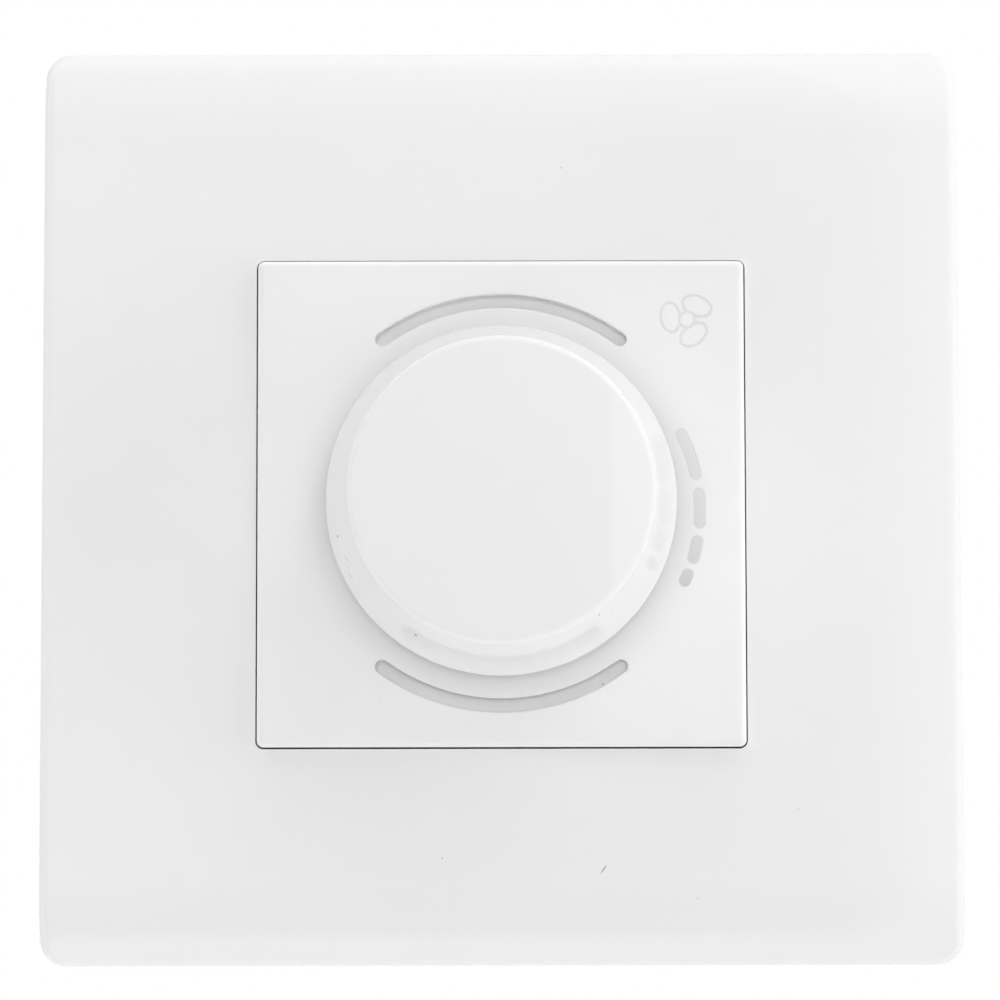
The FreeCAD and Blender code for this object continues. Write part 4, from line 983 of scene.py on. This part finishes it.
@dataclass
class Board:
    """Circuit board and what stands on it."""

    wardrobe: Wardrobe
    turns: int = 19
    sweep: float = 310.0
    wire_mm: float = 0.29
    lead_x_mm: float = 2.8
    lead_straight_mm: float = 2.0
    lead_bend_mm: float = 1.2
    steps_per_turn: int = 16
    wire_sides: int = 8

    def build(self) -> bpy.types.Object:
        """Wind the choke's wire round its ring core, with a lead at each end.

        Returns:
            The wire, dressed and in its place.
        """
        low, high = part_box("choke_core")
        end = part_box("choke_winding")[1].y
        middle = (low + high) / 2
        core = (high.z - low.z) / 2
        ring = (high.x - low.x) / 2 - core
        wound = core + self.wire_mm * MM
        steps = self.turns * self.steps_per_turn
        first = math.radians(90 + (360 - self.sweep) / 2)
        points = []
        for step in range(steps + 1):
            share = step / steps
            place = first + math.radians(self.sweep) * share
            turn = 2 * math.pi * self.turns * share + math.pi
            reach = ring + wound * math.cos(turn)
            across, deep = reach * math.cos(place), reach * math.sin(place)
            points.append(middle + Vector((across, deep, wound * math.sin(turn))))
        lead = self.lead_x_mm * MM
        straight, bend = end - self.lead_straight_mm * MM, self.lead_bend_mm * MM
        start = [Vector((-lead, deep, middle.z)) for deep in (end, straight, points[0].y + bend)]
        finish = [Vector((lead, deep, middle.z)) for deep in (points[-1].y + bend, straight, end)]
        wire = wire_mesh("choke_turns", start + points + finish, self.wire_mm * MM, self.wire_sides)
        return self.wardrobe.fit(wire, "base", "choke_winding")

    def dress(self) -> None:
        """Give the board's pieces their finishes."""
        self.wardrobe.dress("circuit_board", "film_capacitor", "timing_capacitor", "choke_core")
        self.wardrobe.dress("resistors", "diac", "fuse_tube", "fuse_caps", "fuse_clips")


@dataclass
class TerminalBlock:
    """Terminals for the two wires."""

    wardrobe: Wardrobe

    def dress(self) -> None:
        """Give the pieces their finishes."""
        self.wardrobe.dress("terminal_body", "terminal_cages", "terminal_screws")


@dataclass
class BackBox:
    """Back box of the module and its long screws."""

    wardrobe: Wardrobe

    def dress(self) -> None:
        """Give the pieces their finishes."""
        self.wardrobe.dress("rear_housing", "housing_screws")


@dataclass(frozen=True)
class Softbox:
    """Soft rectangular lamp that neither the camera nor mirror-like skins can see."""

    name: str
    place: tuple[float, float, float]
    size: tuple[float, float]
    watts: float

    def build(self) -> bpy.types.Object:
        """Hang the lamp so that it faces the switch.

        Returns:
            The lamp.
        """
        data = bpy.data.lights.new(self.name, "AREA")
        data.shape = "RECTANGLE"
        data.size, data.size_y = self.size
        data.energy = self.watts
        lamp = bpy.data.objects.new(self.name, data)
        bpy.context.scene.collection.objects.link(lamp)
        lamp.location = self.place
        lamp.rotation_mode = "QUATERNION"
        lamp.rotation_quaternion = (-Vector(self.place)).to_track_quat("-Z", "Y")
        lamp.visible_camera = lamp.visible_glossy = False
        return lamp


@dataclass(frozen=True)
class Card:
    """Flat card of the studio that only mirror-like skins can see."""

    name: str
    corners: tuple[tuple[float, float, float], ...]
    cloud_mm: float = 80.0

    def build(self) -> bpy.types.Object:
        """Stand the black card in its place.

        Returns:
            The card.
        """
        mesh = bpy.data.meshes.new(self.name)
        mesh.from_pydata(self.corners, [], [tuple(range(len(self.corners)))])
        card = bpy.data.objects.new(self.name, mesh)
        bpy.context.scene.collection.objects.link(card)
        recipe = Recipe(self.name, Roughness=1.0, Specular_IOR_Level=0.0)
        black = recipe.tones(recipe.noise(self.cloud_mm), [(0.0, tone(14)), (1.0, tone(18))])
        recipe.feed(black, "Base Color")
        mesh.materials.append(recipe.material)
        card.visible_camera = card.visible_diffuse = card.visible_shadow = False
        card.visible_transmission = False
        return card


@dataclass(frozen=True)
class Viewpoint:
    """Camera that stands where the photograph was taken from."""

    place_mm: tuple[float, float, float] = (-0.97, -386.73, -32.94)
    yaw: float = 0.130
    pitch: float = 5.027
    roll: float = -0.105
    focal_share: float = 4.0609
    sensor_mm: float = 36.0
    clip: tuple[float, float] = (0.01, 50.0)

    def build(self) -> bpy.types.Object:
        """Set the camera up.

        Returns:
            The camera.
        """
        yaw, pitch, roll = (math.radians(angle) for angle in (self.yaw, self.pitch, self.roll))
        level = Vector((math.sin(yaw), math.cos(yaw), 0.0))
        ahead = level * math.cos(pitch) + Vector((0.0, 0.0, math.sin(pitch)))
        right = Vector((math.cos(yaw), -math.sin(yaw), 0.0))
        up = right.cross(ahead)
        side = right * math.cos(roll) + up * math.sin(roll)
        top = up * math.cos(roll) - right * math.sin(roll)
        data = bpy.data.cameras.new("photo_camera")
        data.sensor_width = self.sensor_mm
        data.lens = self.focal_share * self.sensor_mm
        data.clip_start, data.clip_end = self.clip
        camera = bpy.data.objects.new("photo_camera", data)
        bpy.context.scene.collection.objects.link(camera)
        turn = Matrix((side, top, -ahead)).transposed().to_4x4()
        camera.matrix_world = Matrix.Translation(Vector(self.place_mm) * MM) @ turn
        bpy.context.scene.camera = camera
        return camera


def seen(tree: bpy.types.NodeTree) -> Socket:
    """Add nodes that tell what is looked at from what only lights.

    Args:
        tree: Nodes of a material or of the world.

    Returns:
        A value that is 1 for camera, mirrored and refracted rays, and 0 for all others.
    """
    ray = tree.nodes.new("ShaderNodeLightPath")
    value = ray.outputs["Is Camera Ray"]
    for other in ("Is Glossy Ray", "Is Transmission Ray"):
        either = tree.nodes.new("ShaderNodeMath")
        either.operation = "MAXIMUM"
        tree.links.new(value, either.inputs[0])
        tree.links.new(ray.outputs[other], either.inputs[1])
        value = either.outputs["Value"]
    return value


@dataclass
class Studio:
    """Pale floor, white surroundings, soft lamps and camera."""

    ambient: float = 0.15
    floor_height: float = -0.6
    floor_half: float = 1.6
    floor_glow: float = 0.6
    floor_cloud_mm: float = 120.0
    viewpoint: Viewpoint = field(default_factory=Viewpoint)
    lamps: tuple[Softbox, ...] = (
        Softbox("front", (0.0, -1.2, 0.1), (0.8, 0.6), 4.75),
        Softbox("key", (0.36, -0.5, 0.64), (0.4, 0.4), 0.8),
        Softbox("top", (0.0, -0.22, 0.77), (0.8, 0.45), 2.3),
        Softbox("top_right", (0.54, -0.22, 0.54), (0.45, 0.45), 1.0),
        Softbox("top_left", (-0.54, -0.22, 0.54), (0.45, 0.45), 1.2),
        Softbox("right", (0.77, -0.22, 0.0), (0.45, 0.6), 2.5),
        Softbox("left", (-0.77, -0.22, 0.0), (0.45, 0.6), 0.8),
        Softbox("low_right", (0.41, -0.17, -0.41), (0.45, 0.45), 0.35),
        Softbox("low_left", (-0.41, -0.17, -0.41), (0.45, 0.45), 0.75),
        Softbox("back_right", (0.35, 1.2, 0.25), (0.8, 0.8), 6.5),
        Softbox("back_left", (-0.35, 1.2, 0.25), (0.8, 0.8), 6.5),
    )
    cards: tuple[Card, ...] = (
        Card(
            "front_card",
            ((-1.6, -1.0, -0.76), (0.14, -1.0, -0.76), (0.14, -1.0, 1.5), (-1.6, -1.0, 1.5)),
        ),
    )

    def light(self) -> None:
        """Hang the lamps and make the surroundings: white where they are seen, softer as a light."""
        for lamp in self.lamps:
            lamp.build()
        for card in self.cards:
            card.build()
        world = bpy.data.worlds.new("studio")
        bpy.context.scene.world = world
        world.use_nodes = True
        nodes, links = world.node_tree.nodes, world.node_tree.links
        soft = nodes["Background"]
        soft.inputs["Color"].default_value = (1, 1, 1, 1)
        soft.inputs["Strength"].default_value = self.ambient
        white = nodes.new("ShaderNodeBackground")
        white.inputs["Color"].default_value = (1, 1, 1, 1)
        white.inputs["Strength"].default_value = 1.0
        mix = nodes.new("ShaderNodeMixShader")
        links.new(seen(world.node_tree), mix.inputs[0])
        links.new(soft.outputs[0], mix.inputs[1])
        links.new(white.outputs[0], mix.inputs[2])
        links.new(mix.outputs[0], nodes["World Output"].inputs["Surface"])

    def floor(self) -> bpy.types.Object:
        """Lay the pale floor.

        Returns:
            The floor.
        """
        half = self.floor_half
        mesh = bpy.data.meshes.new("floor")
        ring = [(-half, -half), (half, -half), (half, half), (-half, half)]
        mesh.from_pydata([(x, y, self.floor_height) for x, y in ring], [], [(0, 1, 2, 3)])
        plane = bpy.data.objects.new("floor", mesh)
        bpy.context.scene.collection.objects.link(plane)
        recipe = Recipe("floor_white", Roughness=0.9, Specular_IOR_Level=0.1)
        cloud = recipe.noise(self.floor_cloud_mm)
        recipe.feed(recipe.clouded(cloud, tone(244), tone(248)), "Base Color")
        glow = recipe.spread(seen(recipe.material.node_tree), 0.0, self.floor_glow)
        recipe.feed(glow, "Emission Strength")
        mesh.materials.append(recipe.material)
        plane.visible_glossy = False
        return plane

    def build(self) -> None:
        """Set up everything round the switch."""
        self.viewpoint.build()
        self.light()
        self.floor()
        bpy.context.scene.view_settings.view_transform = "Standard"


def main() -> None:
    """Dress the switch, build what the solids leave out, and set up the studio."""
    logging.basicConfig(level=logging.INFO, format="%(name)s: %(message)s")
    wardrobe = Wardrobe(FINISHES)
    switch = PushSwitch(wardrobe)
    board = Board(wardrobe)
    for assembly in (SpeedKnob(wardrobe), switch, board):
        assembly.build()
    front = (WallPlate(wardrobe), ModuleFront(wardrobe), RotaryControl(wardrobe))
    inside = (switch, PowerStage(wardrobe), board, TerminalBlock(wardrobe), BackBox(wardrobe))
    for assembly in front + inside:
        assembly.dress()
    Studio().build()


if __name__ == "__main__":
    main()
